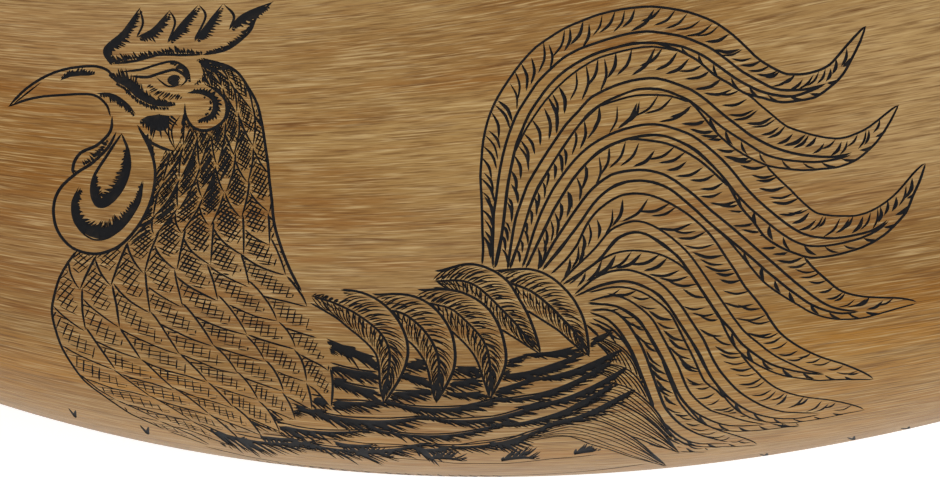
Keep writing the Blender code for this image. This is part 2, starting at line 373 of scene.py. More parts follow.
def even(points: Array, step: float) -> Array:
    """Points at even distances along a line.

    Args:
        points: Rows of points along the line.
        step: The distance wanted.

    Returns:
        Rows of points with the same first and last one.
    """
    gaps = np.linalg.norm(np.diff(points, axis=0), axis=1)
    travel = np.concatenate([[0.0], np.cumsum(gaps)])
    count = max(2, int(round(travel[-1] / step)) + 1)
    wanted = np.linspace(0.0, travel[-1], count)
    return points_at(points, travel, wanted)


def curve(points: Sequence[Point], step: float = 0.25) -> Array:
    """A flowing line through points, as even steps.

    Args:
        points: The points that it runs through.
        step: Distance between its samples.

    Returns:
        Rows of points along the line.
    """
    knots = np.array(points, dtype=float)
    if len(knots) < 3:
        return even(knots, step)
    knots = np.vstack([2 * knots[0] - knots[1], knots, 2 * knots[-1] - knots[-2]])
    pieces = []
    share = np.linspace(0.0, 1.0, 12, endpoint=False)[:, None]
    for a, b, c, d in zip(knots, knots[1:], knots[2:], knots[3:]):
        steady = 2 * b + (c - a) * share
        bent = (2 * a - 5 * b + 4 * c - d) * share**2 + (3 * b - a - 3 * c + d) * share**3
        pieces.append((steady + bent) / 2)
    return even(np.vstack(pieces + [knots[-2:-1]]), step)


def length_of(line: Array) -> float:
    """Length of a line in millimetres."""
    return np.sum(np.linalg.norm(np.diff(line, axis=0), axis=1))


def ways(line: Array) -> Array:
    """Unit directions along a line at each of its points."""
    return unit(np.gradient(line, axis=0))


def left_of(direction: Array) -> Array:
    """Directions turned a quarter to the left, as seen on the sheet with y down."""
    return np.stack([direction[..., 1], -direction[..., 0]], axis=-1)


def inside(points: Array, loop: Array) -> Array:
    """Which points lie inside a closed loop.

    Args:
        points: Rows of points.
        loop: Rows of the loop's corners, the first not repeated.

    Returns:
        True for each point inside.
    """
    x, y = points[:, 0:1], points[:, 1:2]
    x0, y0 = loop[:, 0], loop[:, 1]
    x1, y1 = np.roll(x0, -1), np.roll(y0, -1)
    crosses = (y0 > y) != (y1 > y)
    rise = np.where(y1 == y0, NEVER_ZERO, y1 - y0)
    at = x0 + (y - y0) / rise * (x1 - x0)
    return np.count_nonzero(crosses & (x < at), axis=1) % 2 == 1


@dataclass
class Cut:
    """One engraved stroke: its middle line and its width at each point, on the sheet."""

    line: Array
    width: Array


@dataclass
class Plate:
    """Collects the strokes of the drawing, from the front to the back.

    What is drawn first lies in front: cover() hides all later strokes inside a loop.
    """

    seed: int = 7
    cuts: list[Cut] = field(default_factory=list)
    covers: list[Array] = field(default_factory=list)
    fade: float = 1.1
    wobble: float = 0.05
    step: float = 0.22
    shortest: float = 0.12

    def __post_init__(self) -> None:
        """Seeds the hand's small errors."""
        self.hand = np.random.default_rng(self.seed)

    def cover(self, loop: Array) -> None:
        """Hides what is drawn later inside a closed loop."""
        self.covers.append(loop[::2] if len(loop) > 60 else loop)

    def visible(self, line: Array) -> Array:
        """Which points of a line no cover hides.

        Args:
            line: Rows of points.

        Returns:
            True for each point that shows.
        """
        shown = np.ones(len(line), dtype=bool)
        low, high = line.min(axis=0), line.max(axis=0)
        for loop in self.covers:
            if np.all(loop.max(axis=0) > low) and np.all(loop.min(axis=0) < high):
                shown &= ~inside(line, loop)
        return shown

    def stroke(
        self,
        line: Array,
        width: float,
        start: float = 0.35,
        end: float = 0.12,
        within: Array | None = None,
    ) -> None:
        """Cuts a stroke that thins towards its ends.

        Args:
            line: Rows of points along it.
            width: Its full width.
            start: Share of the width at its start.
            end: Share of the width at its end.
            within: A closed loop that it stays inside, if any.
        """
        line = even(line, self.step)
        count = len(line)
        if count > 3:
            knots = max(2, count // 8)
            drift = self.hand.normal(0.0, self.wobble, (knots, 2))
            at = np.linspace(0, knots - 1, count)
            line = line + points_at(drift, np.arange(knots), at)
        shown = self.visible(line)
        if within is not None:
            shown &= inside(line, within)
        far = np.arange(count) * self.step
        reach = min(self.fade, 0.45 * far[-1] + 1e-6)
        swell = np.minimum(1.0, start + (1 - start) * far / reach)
        swell = np.minimum(swell, end + (1 - end) * (far[-1] - far) / reach)
        thick = width * swell * self.hand.uniform(0.88, 1.12)
        self.keep(line, thick, shown)

    def trace(
        self, points: Sequence[Point], width: float, start: float = 0.35, end: float = 0.12
    ) -> Array:
        """Cuts a flowing stroke through points.

        Args:
            points: The points that it runs through.
            width: Its full width.
            start: Share of the width at its start.
            end: Share of the width at its end.

        Returns:
            Its line.
        """
        line = curve(points)
        self.stroke(line, width, start, end)
        return line

    def keep(self, line: Array, thick: Array, shown: Array) -> None:
        """Keeps the stretches of a stroke that show.

        Args:
            line: Rows of points.
            thick: Its width at each point.
            shown: Which points show.
        """
        edges = np.flatnonzero(np.diff(np.concatenate([[0], shown.astype(int), [0]])))
        for first, last in zip(edges[::2], edges[1::2]):
            if last - first >= 2:
                self.cuts.append(Cut(line[first:last], thick[first:last]))

    def fray(
        self,
        line: Array,
        lengths: Sequence[float],
        lean: float = 0.0,
        spacing: float = 0.24,
        width: float = 0.30,
    ) -> None:
        """Black shading made of close strokes that start at a line and end raggedly.

        Args:
            line: Rows of points where the strokes start.
            lengths: Stroke length at each share of the line, to its left; below 0 to its right.
            lean: How far the strokes lean along the line, as an angle.
            spacing: Distance between the strokes.
            width: Their width.
        """
        starts = even(line, spacing)
        facing = ways(starts)
        out = left_of(facing)
        share = shares_of(len(starts))
        reach = np.interp(share, shares_of(len(lengths)), lengths)
        for start, way, side, far in zip(starts, facing, out, reach):
            far = far * self.hand.uniform(0.72, 1.12)
            if abs(far) < self.shortest:
                continue
            tilt = lean + self.hand.normal(0.0, 0.08)
            go = side * math.cos(tilt) * np.sign(far) + way * math.sin(tilt)
            self.stroke(np.array([start, start + go * abs(far)]), width, 0.9, 0.05)

    def brush(self, line: Array, depths: Sequence[float], lean: float = 1.2) -> None:
        """Black shading that is solid next to a line and frays away from it.

        Args:
            line: Rows of points of its firm edge.
            depths: Its depth at each share of the line, to its left; below 0 to its right.
            lean: How far its frayed ends lean along the line, as an angle.
        """
        line = even(line, 0.3)
        share = shares_of(len(line))
        depth = np.interp(share, shares_of(len(depths)), depths)
        body = line + left_of(ways(line)) * depth[:, None] * 0.3
        solid = np.abs(depth) * 0.6
        self.keep(body, solid, self.visible(body) & (solid > self.shortest))
        self.fray(body, depth * 0.7 / math.cos(lean), lean, 0.27, 0.30)


@dataclass
class Feather:
    """A pointed feather about a bent spine, with an outline, a rib and barbs."""

    spine: Array
    left: float
    right: float
    fullest: float = 0.45
    root: float = 0.25
    point: float = 1.8

    def side(self, reach: float) -> Array:
        """The edge at a reach to the left of the spine, or to its right below 0.

        Args:
            reach: The feather's width on that side.

        Returns:
            Rows of points.
        """
        share = shares_of(len(self.spine))
        rising = self.root + (1 - self.root) * smooth(share / self.fullest)
        falling = 1.0 - np.clip((share - self.fullest) / (1 - self.fullest), 0.0, 1.0) ** self.point
        full = np.minimum(rising, 1.0) * falling
        return self.spine + left_of(ways(self.spine)) * (reach * full)[:, None]

    def loop(self) -> Array:
        """The feather's closed outline."""
        return np.vstack([self.side(self.left), self.side(-self.right)[::-1]])

    def outline(self, plate: Plate, width: float) -> None:
        """Cuts both edges."""
        plate.stroke(self.side(self.left), width, 0.7, 0.5)
        plate.stroke(self.side(-self.right), width, 0.7, 0.5)

    def barbs(
        self,
        plate: Plate,
        from_share: float,
        to_share: float,
        spacing: float,
        width: float,
        lean: float,
    ) -> None:
        """Cuts barbs between two lines along the feather.

        Args:
            plate: The plate that takes the strokes.
            from_share: Where they start, from -1 at the right edge to 1 at the left.
            to_share: Where they end.
            spacing: Distance between them.
            width: Their width.
            lean: How far each runs on along the feather, in millimetres.
        """
        reach_from = self.left if from_share > 0 else self.right
        reach_to = self.left if to_share > 0 else self.right
        start = self.side(reach_from * from_share)
        end = self.side(reach_to * to_share)
        total = length_of(self.spine)
        count = max(2, int(total / spacing))
        for i in range(count):
            at = (i + 0.5 + plate.hand.normal(0.0, 0.12)) / count
            ahead = at + lean / total
            if not 0.0 < at < 1.0 or not 0.0 < ahead < 1.0:
                continue
            a = start[int(at * (len(start) - 1))]
            b = end[int(ahead * (len(end) - 1))]
            if np.linalg.norm(b - a) > 0.3:
                bent = (a + b) / 2 + left_of(b - a) * 0.10 * np.sign(to_share - from_share)
                plate.trace([a, bent, b], width, 0.8, 0.1)


@dataclass
class Head:
    """The rooster's comb, beak, face and wattles."""

    line: float = 0.30
    fine: float = 0.20
    eye: Point = (17.8, 8.1)

    def comb(self, plate: Plate) -> None:
        """Cuts the comb: five flame-like points, shaded along their front edges."""
        spikes = [
            [(11.4, 6.6), (10.6, 5.0), (12.6, 3.2), (14.3, 0.7), (14.6, 2.3), (13.9, 3.8)],
            [(13.9, 3.8), (15.6, 2.9), (17.3, 1.0), (17.9, 2.3), (17.1, 4.4)],
            [(17.1, 4.4), (18.2, 2.7), (20.3, 0.4), (21.0, 1.7), (19.8, 4.2)],
            [(19.8, 4.2), (20.9, 2.7), (22.7, 0.4), (23.8, 1.6), (23.3, 3.0)],
            [(23.3, 3.0), (24.8, 1.5), (27.9, 0.2), (26.2, 1.7), (25.4, 3.3), (23.2, 5.0), (20.6, 5.6)],
        ]
        base = [(20.6, 5.6), (17.2, 5.5), (14.0, 6.1), (11.4, 6.6)]
        tips = [3, 2, 2, 2, 2]
        loop = []
        for spike, tip in zip(spikes, tips):
            front = plate.trace(spike[: tip + 1], self.line, 0.8, 0.3)
            back = plate.trace(spike[tip:], self.line, 0.3, 0.8)
            plate.brush(front[1:-2], [-0.6, -1.3, -1.0, -0.5], lean=0.5)
            loop += [front[:-1], back[:-1]]
        plate.fray(loop[-1][4:], [-0.3, -0.9, -0.7, -0.4], lean=0.6)
        low = plate.trace(base, self.line)
        plate.fray(low, [-0.5, -0.8, -0.7, -1.0, -1.3], lean=0.4)
        plate.cover(np.vstack(loop + [low]))

    def beak(self, plate: Plate) -> None:
        """Cuts the beak and its nostril."""
        top = [(0.9, 10.9), (2.6, 9.0), (5.4, 7.4), (8.2, 6.8), (10.6, 7.0), (11.8, 8.0)]
        ridge = plate.trace(top, self.line, 0.3, 0.5)
        gape = [(0.7, 10.9), (3.0, 10.1), (6.0, 9.7), (9.3, 9.6), (10.8, 10.6), (11.3, 12.0)]
        mouth = plate.trace(gape, self.line, 0.3, 0.5)
        plate.trace([(1.4, 10.6), (2.9, 9.4), (4.2, 8.4)], self.fine)
        nostril = curve([(6.1, 8.3), (7.4, 7.8), (9.7, 7.7)])
        plate.brush(nostril, [0.3, 0.9, 0.8, 0.4], lean=0.6)
        plate.cover(np.vstack([ridge, mouth[::-1]]))

    def face(self, plate: Plate) -> None:
        """Cuts the eye, its lids and the dark marks about it."""
        around = np.linspace(0.0, 2 * math.pi, 25)
        ball = np.array(self.eye) + np.stack([0.62 * np.cos(around), 0.42 * np.sin(around)], axis=1)
        plate.stroke(ball, 0.26, 1.0, 1.0)
        plate.stroke(np.array(self.eye) + np.array([[-0.55, 0.0], [0.55, 0.0]]), 0.86, 0.7, 0.7)
        plate.cover(ball[:-1])
        brow = [(12.3, 7.4), (14.2, 7.1), (15.8, 6.6), (17.6, 6.3), (19.0, 7.0), (19.5, 8.3)]
        upper = plate.trace(brow, self.line)
        plate.fray(upper[-14:], [-0.3, -0.8, -0.9, -0.5], lean=-0.6)
        lid = [(13.3, 7.7), (14.9, 7.9), (16.3, 7.5), (17.8, 7.2), (19.0, 8.0), (18.3, 8.8)]
        plate.trace(lid, self.line)
        plate.trace([(15.9, 7.9), (17.2, 8.8), (18.8, 8.5)], self.fine)
        mask = curve([(11.2, 8.1), (12.8, 8.9), (14.0, 10.0), (15.8, 10.8), (17.9, 10.9)])
        plate.brush(mask, [0.7, 1.7, 1.5, 1.0, 0.5], lean=-0.7)
        plate.fray(mask, [-0.3, -0.6, -0.7, -0.6, -0.2], lean=0.7)
        cheek = curve([(15.3, 8.5), (16.6, 9.3), (19.2, 9.7)])
        plate.fray(cheek, [-0.4, -1.1, -1.0, -0.5], lean=-0.6, spacing=0.24, width=0.22)
        throat = plate.trace([(9.7, 9.5), (11.4, 9.7), (12.8, 10.6), (13.8, 11.7)], self.line)
        plate.fray(throat, [-0.2, -0.9, -0.8, -0.3], lean=0.5)
        plate.trace([(13.9, 12.6), (15.0, 14.2), (16.6, 15.1), (17.9, 15.4)], self.line)
        patch = curve([(14.3, 11.9), (15.7, 11.7), (17.2, 11.4)])
        plate.brush(patch, [-1.0, -1.9, -3.2, -1.4], lean=0.15)
        plate.trace([(17.2, 12.3), (17.2, 14.0), (17.9, 15.4)], self.fine)
        plate.trace([(18.4, 11.7), (17.5, 13.2), (17.8, 15.2)], self.fine)

    def ear_lobe(self, plate: Plate) -> None:
        """Cuts the lobe and the dark crescent on it."""
        lobe = [(18.8, 10.5), (18.9, 11.8), (19.8, 13.0), (21.3, 13.2), (22.8, 12.2), (23.0, 10.4)]
        rim = plate.trace(lobe + [(22.0, 9.2), (20.8, 8.6)], self.line)
        crescent = curve([(18.7, 9.6), (20.4, 9.6), (21.6, 10.3), (21.4, 11.6), (20.0, 12.2)])
        plate.brush(crescent, [0.2, 0.9, 1.1, 0.5], lean=0.3)
        plate.fray(crescent, [-0.1, -0.3, -0.4, -0.2], lean=0.3, spacing=0.2)
        plate.cover(np.vstack([rim, [(18.6, 8.9)]]))

    def wattles(self, plate: Plate) -> None:
        """Cuts the big near wattle with its inner fold, and the small far one behind it."""
        rim = curve(
            [(14.0, 12.8), (15.2, 15.0), (15.8, 17.6), (15.3, 20.6), (14.0, 23.2), (12.0, 25.2)]
            + [(9.8, 25.9), (7.4, 25.3), (5.8, 23.6), (5.3, 21.6), (6.0, 19.4), (7.7, 17.7)]
            + [(9.4, 16.6), (11.0, 14.9), (11.8, 13.4)]
        )
        fold = curve(
            [(12.4, 13.6), (10.9, 15.9), (9.6, 17.9), (9.3, 19.7), (9.9, 21.0), (11.2, 20.8)]
            + [(12.5, 19.2), (13.2, 17.2), (13.0, 15.3), (12.4, 13.6)]
        )
        dark = curve(
            [(8.1, 19.1), (7.3, 20.8), (7.6, 22.7), (9.0, 24.1), (10.9, 24.3), (12.8, 23.0)]
            + [(14.1, 20.8), (14.6, 18.4)]
        )
        plate.stroke(rim, self.line, 0.5, 0.5)
        plate.stroke(fold, self.line, 0.5, 0.5)
        plate.brush(fold[18:-6], [0.2, 1.0, 1.5, 1.5, 1.2, 0.4], lean=-0.4)
        plate.brush(dark, [0.4, 1.1, 1.6, 1.9, 1.7, 1.2, 0.7, 0.3], lean=0.3)
        plate.stroke(dark, self.fine)
        plate.fray(rim[4:16], [0.2, 0.7, 0.8, 0.4], lean=-0.8)
        plate.cover(rim)
        edge = [(11.4, 11.8), (11.2, 13.4), (9.9, 14.8), (8.2, 15.6), (7.4, 17.0), (7.6, 18.4)]
        far = plate.trace(edge, self.line)
        back = curve([(11.6, 12.8), (11.0, 14.6), (10.1, 16.3), (8.6, 17.2), (7.7, 17.6)])
        plate.fray(back, [0.2, -0.2, -0.9, -1.2, -0.8, -0.3], lean=0.2)
        plate.cover(np.vstack([far, [(9.4, 17.4), (11.2, 15.0)]]))

    def draw(self, plate: Plate) -> None:
        """Cuts the whole head, front pieces first."""
        self.comb(plate)
        self.wattles(plate)
        self.ear_lobe(plate)
        self.face(plate)
        self.beak(plate)
        skull = [(10.6, 7.0), (13.8, 6.3), (17.2, 5.7), (20.0, 6.2), (20.6, 7.6), (19.4, 9.0)]
        jaw = [(18.6, 12.0), (17.8, 15.2), (14.6, 13.6), (11.4, 12.0), (9.6, 9.7)]
        plate.cover(curve(skull + jaw + skull[:1])[:-1])


@dataclass
class Neck:
    """The hackle: rows of pointed feathers with crossed hatching, in a flow that bends backwards.

    A place on the neck is a share of the way down it and a share of the way over it, from the
    breast to the back.
    """

    rows: int = 11
    across: int = 7
    sag: float = 1.2
    line: float = 0.22
    hatch: float = 0.15
    length: float = 0.21
    half_width: float = 0.080
    flow: float = 0.62
    bent: float = 2.3
    slant: float = 0.17
    marks: int = 13
    nape: Line = (
        (20.6, 5.9), (23.6, 7.0), (25.7, 9.6), (26.8, 13.0), (27.5, 18.0), (28.0, 23.0),
        (29.5, 27.3), (31.4, 31.0), (32.6, 34.6), (32.2, 39.4),
    )
    breast: Line = (
        (19.4, 6.4), (18.6, 9.5), (17.4, 13.5), (15.4, 18.0), (12.0, 22.6), (7.6, 25.8),
        (5.4, 30.2), (5.9, 34.6), (8.4, 38.6), (12.0, 41.4), (16.8, 43.9),
    )

    def __post_init__(self) -> None:
        """Traces both sides of the neck, and the parts of it that feathers may fill."""
        self.back = curve(self.nape)
        self.front = curve(self.breast)
        over = shares_of(12)
        flank = self.place(np.ones(12), over)
        self.whole = np.vstack([self.front, flank, self.back[::-1]])
        low = self.place(np.full(12, 1.10), over * 1.35)
        free = int(0.70 * len(self.back))
        self.reach = np.vstack([self.front, low, self.back[:free][::-1]])

    def side(self, line: Array, down: Array) -> Array:
        """Points at shares of the way down one side, straight on past its end.

        Args:
            line: One side of the neck.
            down: Shares of the way down it.

        Returns:
            Rows of points.
        """
        shares = shares_of(len(line))
        found = points_at(line, shares, down)
        onward = (line[-1] - line[-9]) / (shares[-1] - shares[-9])
        return found + np.maximum(down - 1.0, 0.0)[..., None] * onward

    def place(self, down: Array, over: Array) -> Array:
        """Points on the sheet for places on the neck.

        Args:
            down: Shares of the way down.
            over: Shares of the way over.

        Returns:
            Rows of points.
        """
        share = over[..., None]
        point = self.side(self.front, down) * (1 - share) + self.side(self.back, down) * share
        point[..., 1] += self.sag * np.sin(math.pi * np.clip(over, 0.0, 1.0)) * down**2
        return point

    def leaf(self, down: float, lane: float, along: Array, aside: Array) -> Array:
        """Points of one feather, which follows its lane of the flow.

        Args:
            down: Where its root is.
            lane: Where its lane starts at the head, as a share of the way over.
            along: Shares of its length.
            aside: Shares of its half width.

        Returns:
            Rows of points on the sheet.
        """
        reach = down + self.length * along
        over = lane + self.flow * np.maximum(reach, 0.0) ** self.bent + aside * self.half_width
        return self.place(reach, over)

    def draw(self, plate: Plate) -> None:
        """Cuts the hackle's edges and its feathers, the upper rows in front."""
        plate.stroke(self.back[: int(0.74 * len(self.back))], 0.28, 0.6, 0.6)
        plate.stroke(self.front[self.front[:, 1] > 25.0], 0.28, 0.6, 0.5)
        for row in range(self.rows):
            down = (row - 1.0) / (self.rows - 1.0) * 0.95
            within = self.whole if row < self.rows - 3 else self.reach
            for i in range(-self.across, self.across + 1):
                lane = (i + 0.5 * (row % 2) + plate.hand.uniform(-0.07, 0.07)) / self.across
                self.draw_feather(plate, down + plate.hand.uniform(-0.01, 0.01), lane, within)
        plate.cover(self.whole)

    def draw_feather(self, plate: Plate, down: float, lane: float, within: Array) -> None:
        """Cuts one feather with its crossed hatching.

        Args:
            plate: The plate that takes the strokes.
            down: Where its root is.
            lane: Where its lane starts, as a share of the way over.
            within: A closed loop that its strokes stay inside.
        """
        along = shares_of(25)
        swell = 1.0 - np.abs(2.0 * along**0.9 - 1.0) ** 1.7
        left = self.leaf(down, lane, along, swell)
        right = self.leaf(down, lane, along, -swell)
        loop = np.vstack([left, right[::-1]])
        over = lane + self.flow * max(down, 0.0) ** self.bent
        if not np.any(inside(loop, within)) or (within is self.reach and over > 0.93):
            return
        plate.stroke(left, self.line, 0.5, 0.4, within)
        plate.stroke(right, self.line, 0.5, 0.4, within)
        dark = math.exp(-(((over - 0.60) / 0.36) ** 2 + ((down - 0.24) / 0.26) ** 2))
        slim = 1.0 - 0.32 * float(smooth(np.asarray((down - 0.25) / 0.4)))
        rim = swell[3:-4] * slim
        core = [self.leaf(down, lane, along[3:-4], aside) for aside in (rim, -rim)]
        core = np.vstack([core[0], core[1][::-1]])
        count = self.marks + int(round(4 * dark + plate.hand.uniform(-1.0, 1.0)))
        aside = np.linspace(-1.0, 1.0, 9)
        for slant in (-self.slant, self.slant):
            for k in range(count):
                middle = (k + 0.5 + plate.hand.uniform(-0.15, 0.15)) / count
                mark = self.leaf(down, lane, middle + slant * aside, aside)
                shown = inside(mark, core) & inside(mark, within)
                if np.count_nonzero(shown) >= 2:
                    thick = (self.hatch + 0.07 * dark) * plate.hand.uniform(0.85, 1.2)
                    plate.stroke(mark[shown], thick, 0.6, 0.4)
        plate.cover(loop)


@dataclass
class Wing:
    """The leaf-like coverts on the back, and the long striped feathers that sweep under them."""

    line: float = 0.26
    coverts: tuple[Line, ...] = (
        ((31.8, 30.2), (36.4, 32.0), (39.7, 35.6), (39.1, 41.2)),
        ((37.6, 30.9), (41.8, 32.4), (44.6, 36.2), (44.5, 41.2)),
        ((42.3, 30.4), (46.4, 31.8), (49.7, 35.6), (50.0, 40.8)),
        ((44.2, 28.6), (48.2, 29.0), (51.8, 32.2), (55.2, 36.1)),
        ((49.8, 28.3), (54.2, 29.8), (57.6, 32.6), (60.2, 36.4)),
    )
    upper: Line = ((25.0, 30.4), (34.0, 34.8), (46.0, 36.9), (56.0, 35.6), (62.6, 33.4))
    lower: Line = ((17.0, 42.3), (31.0, 44.8), (46.0, 45.0), (56.0, 43.2), (64.8, 39.2))
    sweeps: int = 7
    links: int = 4
    sag: float = 0.55
    stagger: float = 0.55
    overlap: float = 1.25
    start_at: float = 0.08
    end_at: float = 0.82

    def draw_coverts(self, plate: Plate) -> None:
        """Cuts the coverts, the foremost first."""
        for spine in self.coverts:
            leaf = Feather(curve(spine), 2.4, 1.8, fullest=0.4, root=0.4)
            leaf.outline(plate, self.line)
            plate.stroke(leaf.spine, 0.28, 0.7, 0.2)
            leaf.barbs(plate, 0.02, 0.92, 0.40, 0.15, 1.8)
            leaf.barbs(plate, -0.02, -0.92, 0.40, 0.13, 1.9)
            leaf.barbs(plate, 0.02, 0.50, 0.66, 0.24, 1.1)
            leaf.barbs(plate, -0.02, -0.45, 0.70, 0.20, 1.1)
            plate.cover(leaf.loop())

    def sweep_line(self, share: float, first: float, last: float) -> Array:
        """A festoon between two shares of the flank's length, in one row of it.

        Args:
            share: Which row, as a share of the way from the back to the belly.
            first: Where the festoon starts.
            last: Where it ends.

        Returns:
            Rows of points on the sheet.
        """
        top, low = curve(self.upper), curve(self.lower)
        at = np.linspace(max(first, 0.0), min(last, 1.0), 30)
        ends = [points_at(line, shares_of(len(line)), at) for line in (top, low)]
        sag = self.sag * np.sin(math.pi * (at - first) / (last - first))
        row = ends[0] * (1 - share) + ends[1] * share
        return row + np.stack([np.zeros(30), sag], axis=1)

    def draw_sweeps(self, plate: Plate) -> None:
        """Cuts the rows of long feathers: an edge in festoons with black brush marks under each."""
        for row in range(self.sweeps):
            share = row / (self.sweeps - 1)
            for k in range(-1, self.links):
                first = (k + self.stagger * (row % 2) + plate.hand.uniform(-0.12, 0.12)) / self.links
                last = first + self.overlap / self.links
                if last < self.start_at or first > self.end_at:
                    continue
                line = self.sweep_line(share, first, last)
                plate.stroke(line, self.line, 0.6, 0.5)
                beats = shares_of(31)
                bell = np.sin(math.pi * beats ** plate.hand.uniform(0.7, 1.4)) ** 0.7
                gap = 1.55 - 0.85 * max((first + last) / 2, 0.2)
                depth = gap * plate.hand.uniform(0.95, 1.35)
                plate.brush(line, -bell * depth)

    def draw(self, plate: Plate) -> None:
        """Cuts the wing, the coverts in front."""
        self.draw_coverts(plate)
        self.draw_sweeps(plate)


@dataclass
class Plume:
    """A long tail feather: a bare rib, a wide outer vane, and an inner vane near the tip only."""

    rib: Array
    outer: float
    inner: float
    rib_half: float = 0.54
    bare_tip: float = 0.93
    both_sides_from: float = 0.55
    barb_run: float = 1.9

    def edge(self, reach: Array) -> Array:
        """A line at a reach to the left of the rib at each of its points."""
        return self.rib + left_of(ways(self.rib)) * reach[:, None]

    def rib_reach(self) -> Array:
        """Half the width of the bare rib, down to nothing before the tip."""
        share = shares_of(len(self.rib))
        return self.rib_half * smooth(0.3 + share * 6.0) * smooth((self.bare_tip - share) / 0.25)

    def outer_reach(self) -> Array:
        """Width of the outer vane with its half of the rib.

        Returns:
            The width at each point of the rib.
        """
        share = shares_of(len(self.rib))
        tip = np.clip((1.0 - share) / 0.36, 0.0, 1.0) ** 0.72
        return self.outer * (0.42 + 0.58 * smooth(share / 0.28)) * tip

    def inner_reach(self) -> Array:
        """Width of the inner vane with its half of the rib.

        Returns:
            The width at each point of the rib.
        """
        share = shares_of(len(self.rib))
        swell = smooth((share - 0.46) / 0.24)
        tip = np.clip((1.0 - share) / 0.34, 0.0, 1.0) ** 0.8
        return np.maximum(self.rib_reach(), self.inner * swell * tip)

    def barb(self, plate: Plate, share: float, start: float, end: float, lean: float) -> None:
        """Cuts one barb of the outer vane, or of the inner vane where start and end are below 0.

        Args:
            plate: The plate that takes the stroke.
            share: Where along the rib it starts.
            start: Share of the vane's width where it starts.
            end: Share of the vane's width where it ends.
            lean: How far it runs on towards the tip, in millimetres.
        """
        steps = len(self.rib) - 1
        total = length_of(self.rib)
        first = int(share * steps)
        last = int(min(max(share + lean / total, 0.0), 1.0) * steps)
        reach = self.outer_reach() if end + start > 0 else self.inner_reach()
        bare = self.rib_reach()
        span = reach - bare
        near = np.sign(end + start) * bare + start * span
        far = np.sign(end + start) * bare + end * span
        if span[first] < 0.25 or first == last:
            return
        from_point = self.edge(near)[first]
        to_point = self.edge(far)[last]
        bow = left_of(to_point - from_point) * -0.12 * np.sign(lean)
        width = plate.hand.uniform(0.24, 0.38)
        plate.trace([from_point, (from_point + to_point) / 2 + bow, to_point], width, 0.5, 0.3)

    def draw(self, plate: Plate, line: float) -> None:
        """Cuts the whole feather and hides what lies behind it.

        Args:
            plate: The plate that takes the strokes.
            line: Width of its outlines.
        """
        bare = self.rib_reach()
        outside = self.edge(self.outer_reach())
        inside_edge = self.edge(-self.inner_reach())
        plate.stroke(outside, line, 0.7, 0.6)
        plate.stroke(inside_edge, line, 0.7, 0.6)
        ribbed = bare > 0.06
        plate.stroke(self.edge(bare)[ribbed], line * 1.1, 0.7, 0.3)
        plate.stroke(self.edge(-bare)[ribbed], line * 1.1, 0.7, 0.3)
        count = int(length_of(self.rib))
        for i in range(1, count):
            share = (i + plate.hand.uniform(-0.2, 0.2)) / count
            from_rim = plate.hand.random() < 0.5
            ends = (plate.hand.uniform(0.0, 0.2), plate.hand.uniform(0.7, 1.0))
            if from_rim:
                ends = (plate.hand.uniform(0.15, 0.4), 1.0)
            lean = self.barb_run * plate.hand.uniform(0.7, 1.2)
            if share < self.bare_tip:
                self.barb(plate, share, ends[0], ends[1], lean)
            if self.bare_tip > share > self.both_sides_from and i % 2:
                self.barb(plate, share, -0.05, -0.9, 1.3)
        plate.cover(np.vstack([outside, inside_edge[::-1]]))


@dataclass
class Tail:
    """The tail: long nested plumes with doubled ribs and curled tips."""

    line: float = 0.24
    ribs: tuple[Line, ...] = (
        ((50.4, 27.4), (51.8, 16.0), (54.8, 9.4), (59.2, 5.6), (65.6, 3.8), (71.2, 4.8),
         (76.0, 8.0), (80.4, 9.5), (85.0, 7.9), (88.5, 2.6)),
        ((51.8, 27.8), (53.8, 20.4), (57.2, 14.4), (61.0, 10.2), (65.8, 8.5), (70.0, 9.5),
         (74.4, 12.8), (79.2, 15.6), (84.8, 16.2), (88.6, 14.6), (91.8, 10.7)),
        ((53.2, 28.0), (56.2, 20.9), (60.4, 15.4), (65.6, 13.3), (69.8, 14.0), (73.6, 17.0),
         (77.6, 21.4), (82.6, 24.6), (88.6, 23.8), (92.0, 21.0), (94.5, 16.6)),
        ((54.6, 28.4), (58.4, 22.9), (61.2, 19.4), (64.6, 17.9), (68.4, 18.7), (72.6, 22.2),
         (77.4, 26.2), (81.4, 29.6), (86.0, 31.8), (93.6, 30.9)),
        ((57.0, 29.2), (60.4, 26.4), (63.0, 23.7), (65.8, 23.3), (69.6, 25.9), (73.2, 31.0),
         (76.6, 35.1), (81.0, 37.6), (89.2, 38.7)),
        ((58.6, 30.2), (61.4, 28.6), (64.4, 28.2), (67.6, 29.8), (70.8, 34.0), (73.2, 38.4),
         (76.2, 41.2), (80.4, 42.4), (88.2, 41.8)),
        ((60.0, 30.8), (63.2, 30.8), (66.0, 32.8), (68.4, 37.0), (70.4, 40.8), (74.4, 43.0),
         (81.6, 43.4)),
        ((60.2, 31.8), (62.6, 32.4), (64.8, 35.2), (66.4, 39.2), (67.8, 42.4), (71.0, 44.7),
         (77.4, 45.4)),
        ((60.0, 33.0), (61.8, 34.4), (63.2, 37.4), (64.4, 40.8), (66.2, 43.8), (68.8, 45.3),
         (72.2, 46.0)),
    )
    outer: tuple[float, ...] = (3.1, 3.7, 3.6, 3.6, 3.4, 3.3, 2.4, 2.0, 1.7)
    inner: tuple[float, ...] = (1.5, 1.7, 1.9, 1.6, 1.4, 1.2, 1.2, 1.0, 1.2)

    def draw(self, plate: Plate) -> None:
        """Cuts the plumes, the topmost in front."""
        for rib, outer, inner in zip(self.ribs, self.outer, self.inner):
            Plume(curve(rib), outer, inner).draw(plate, self.line)


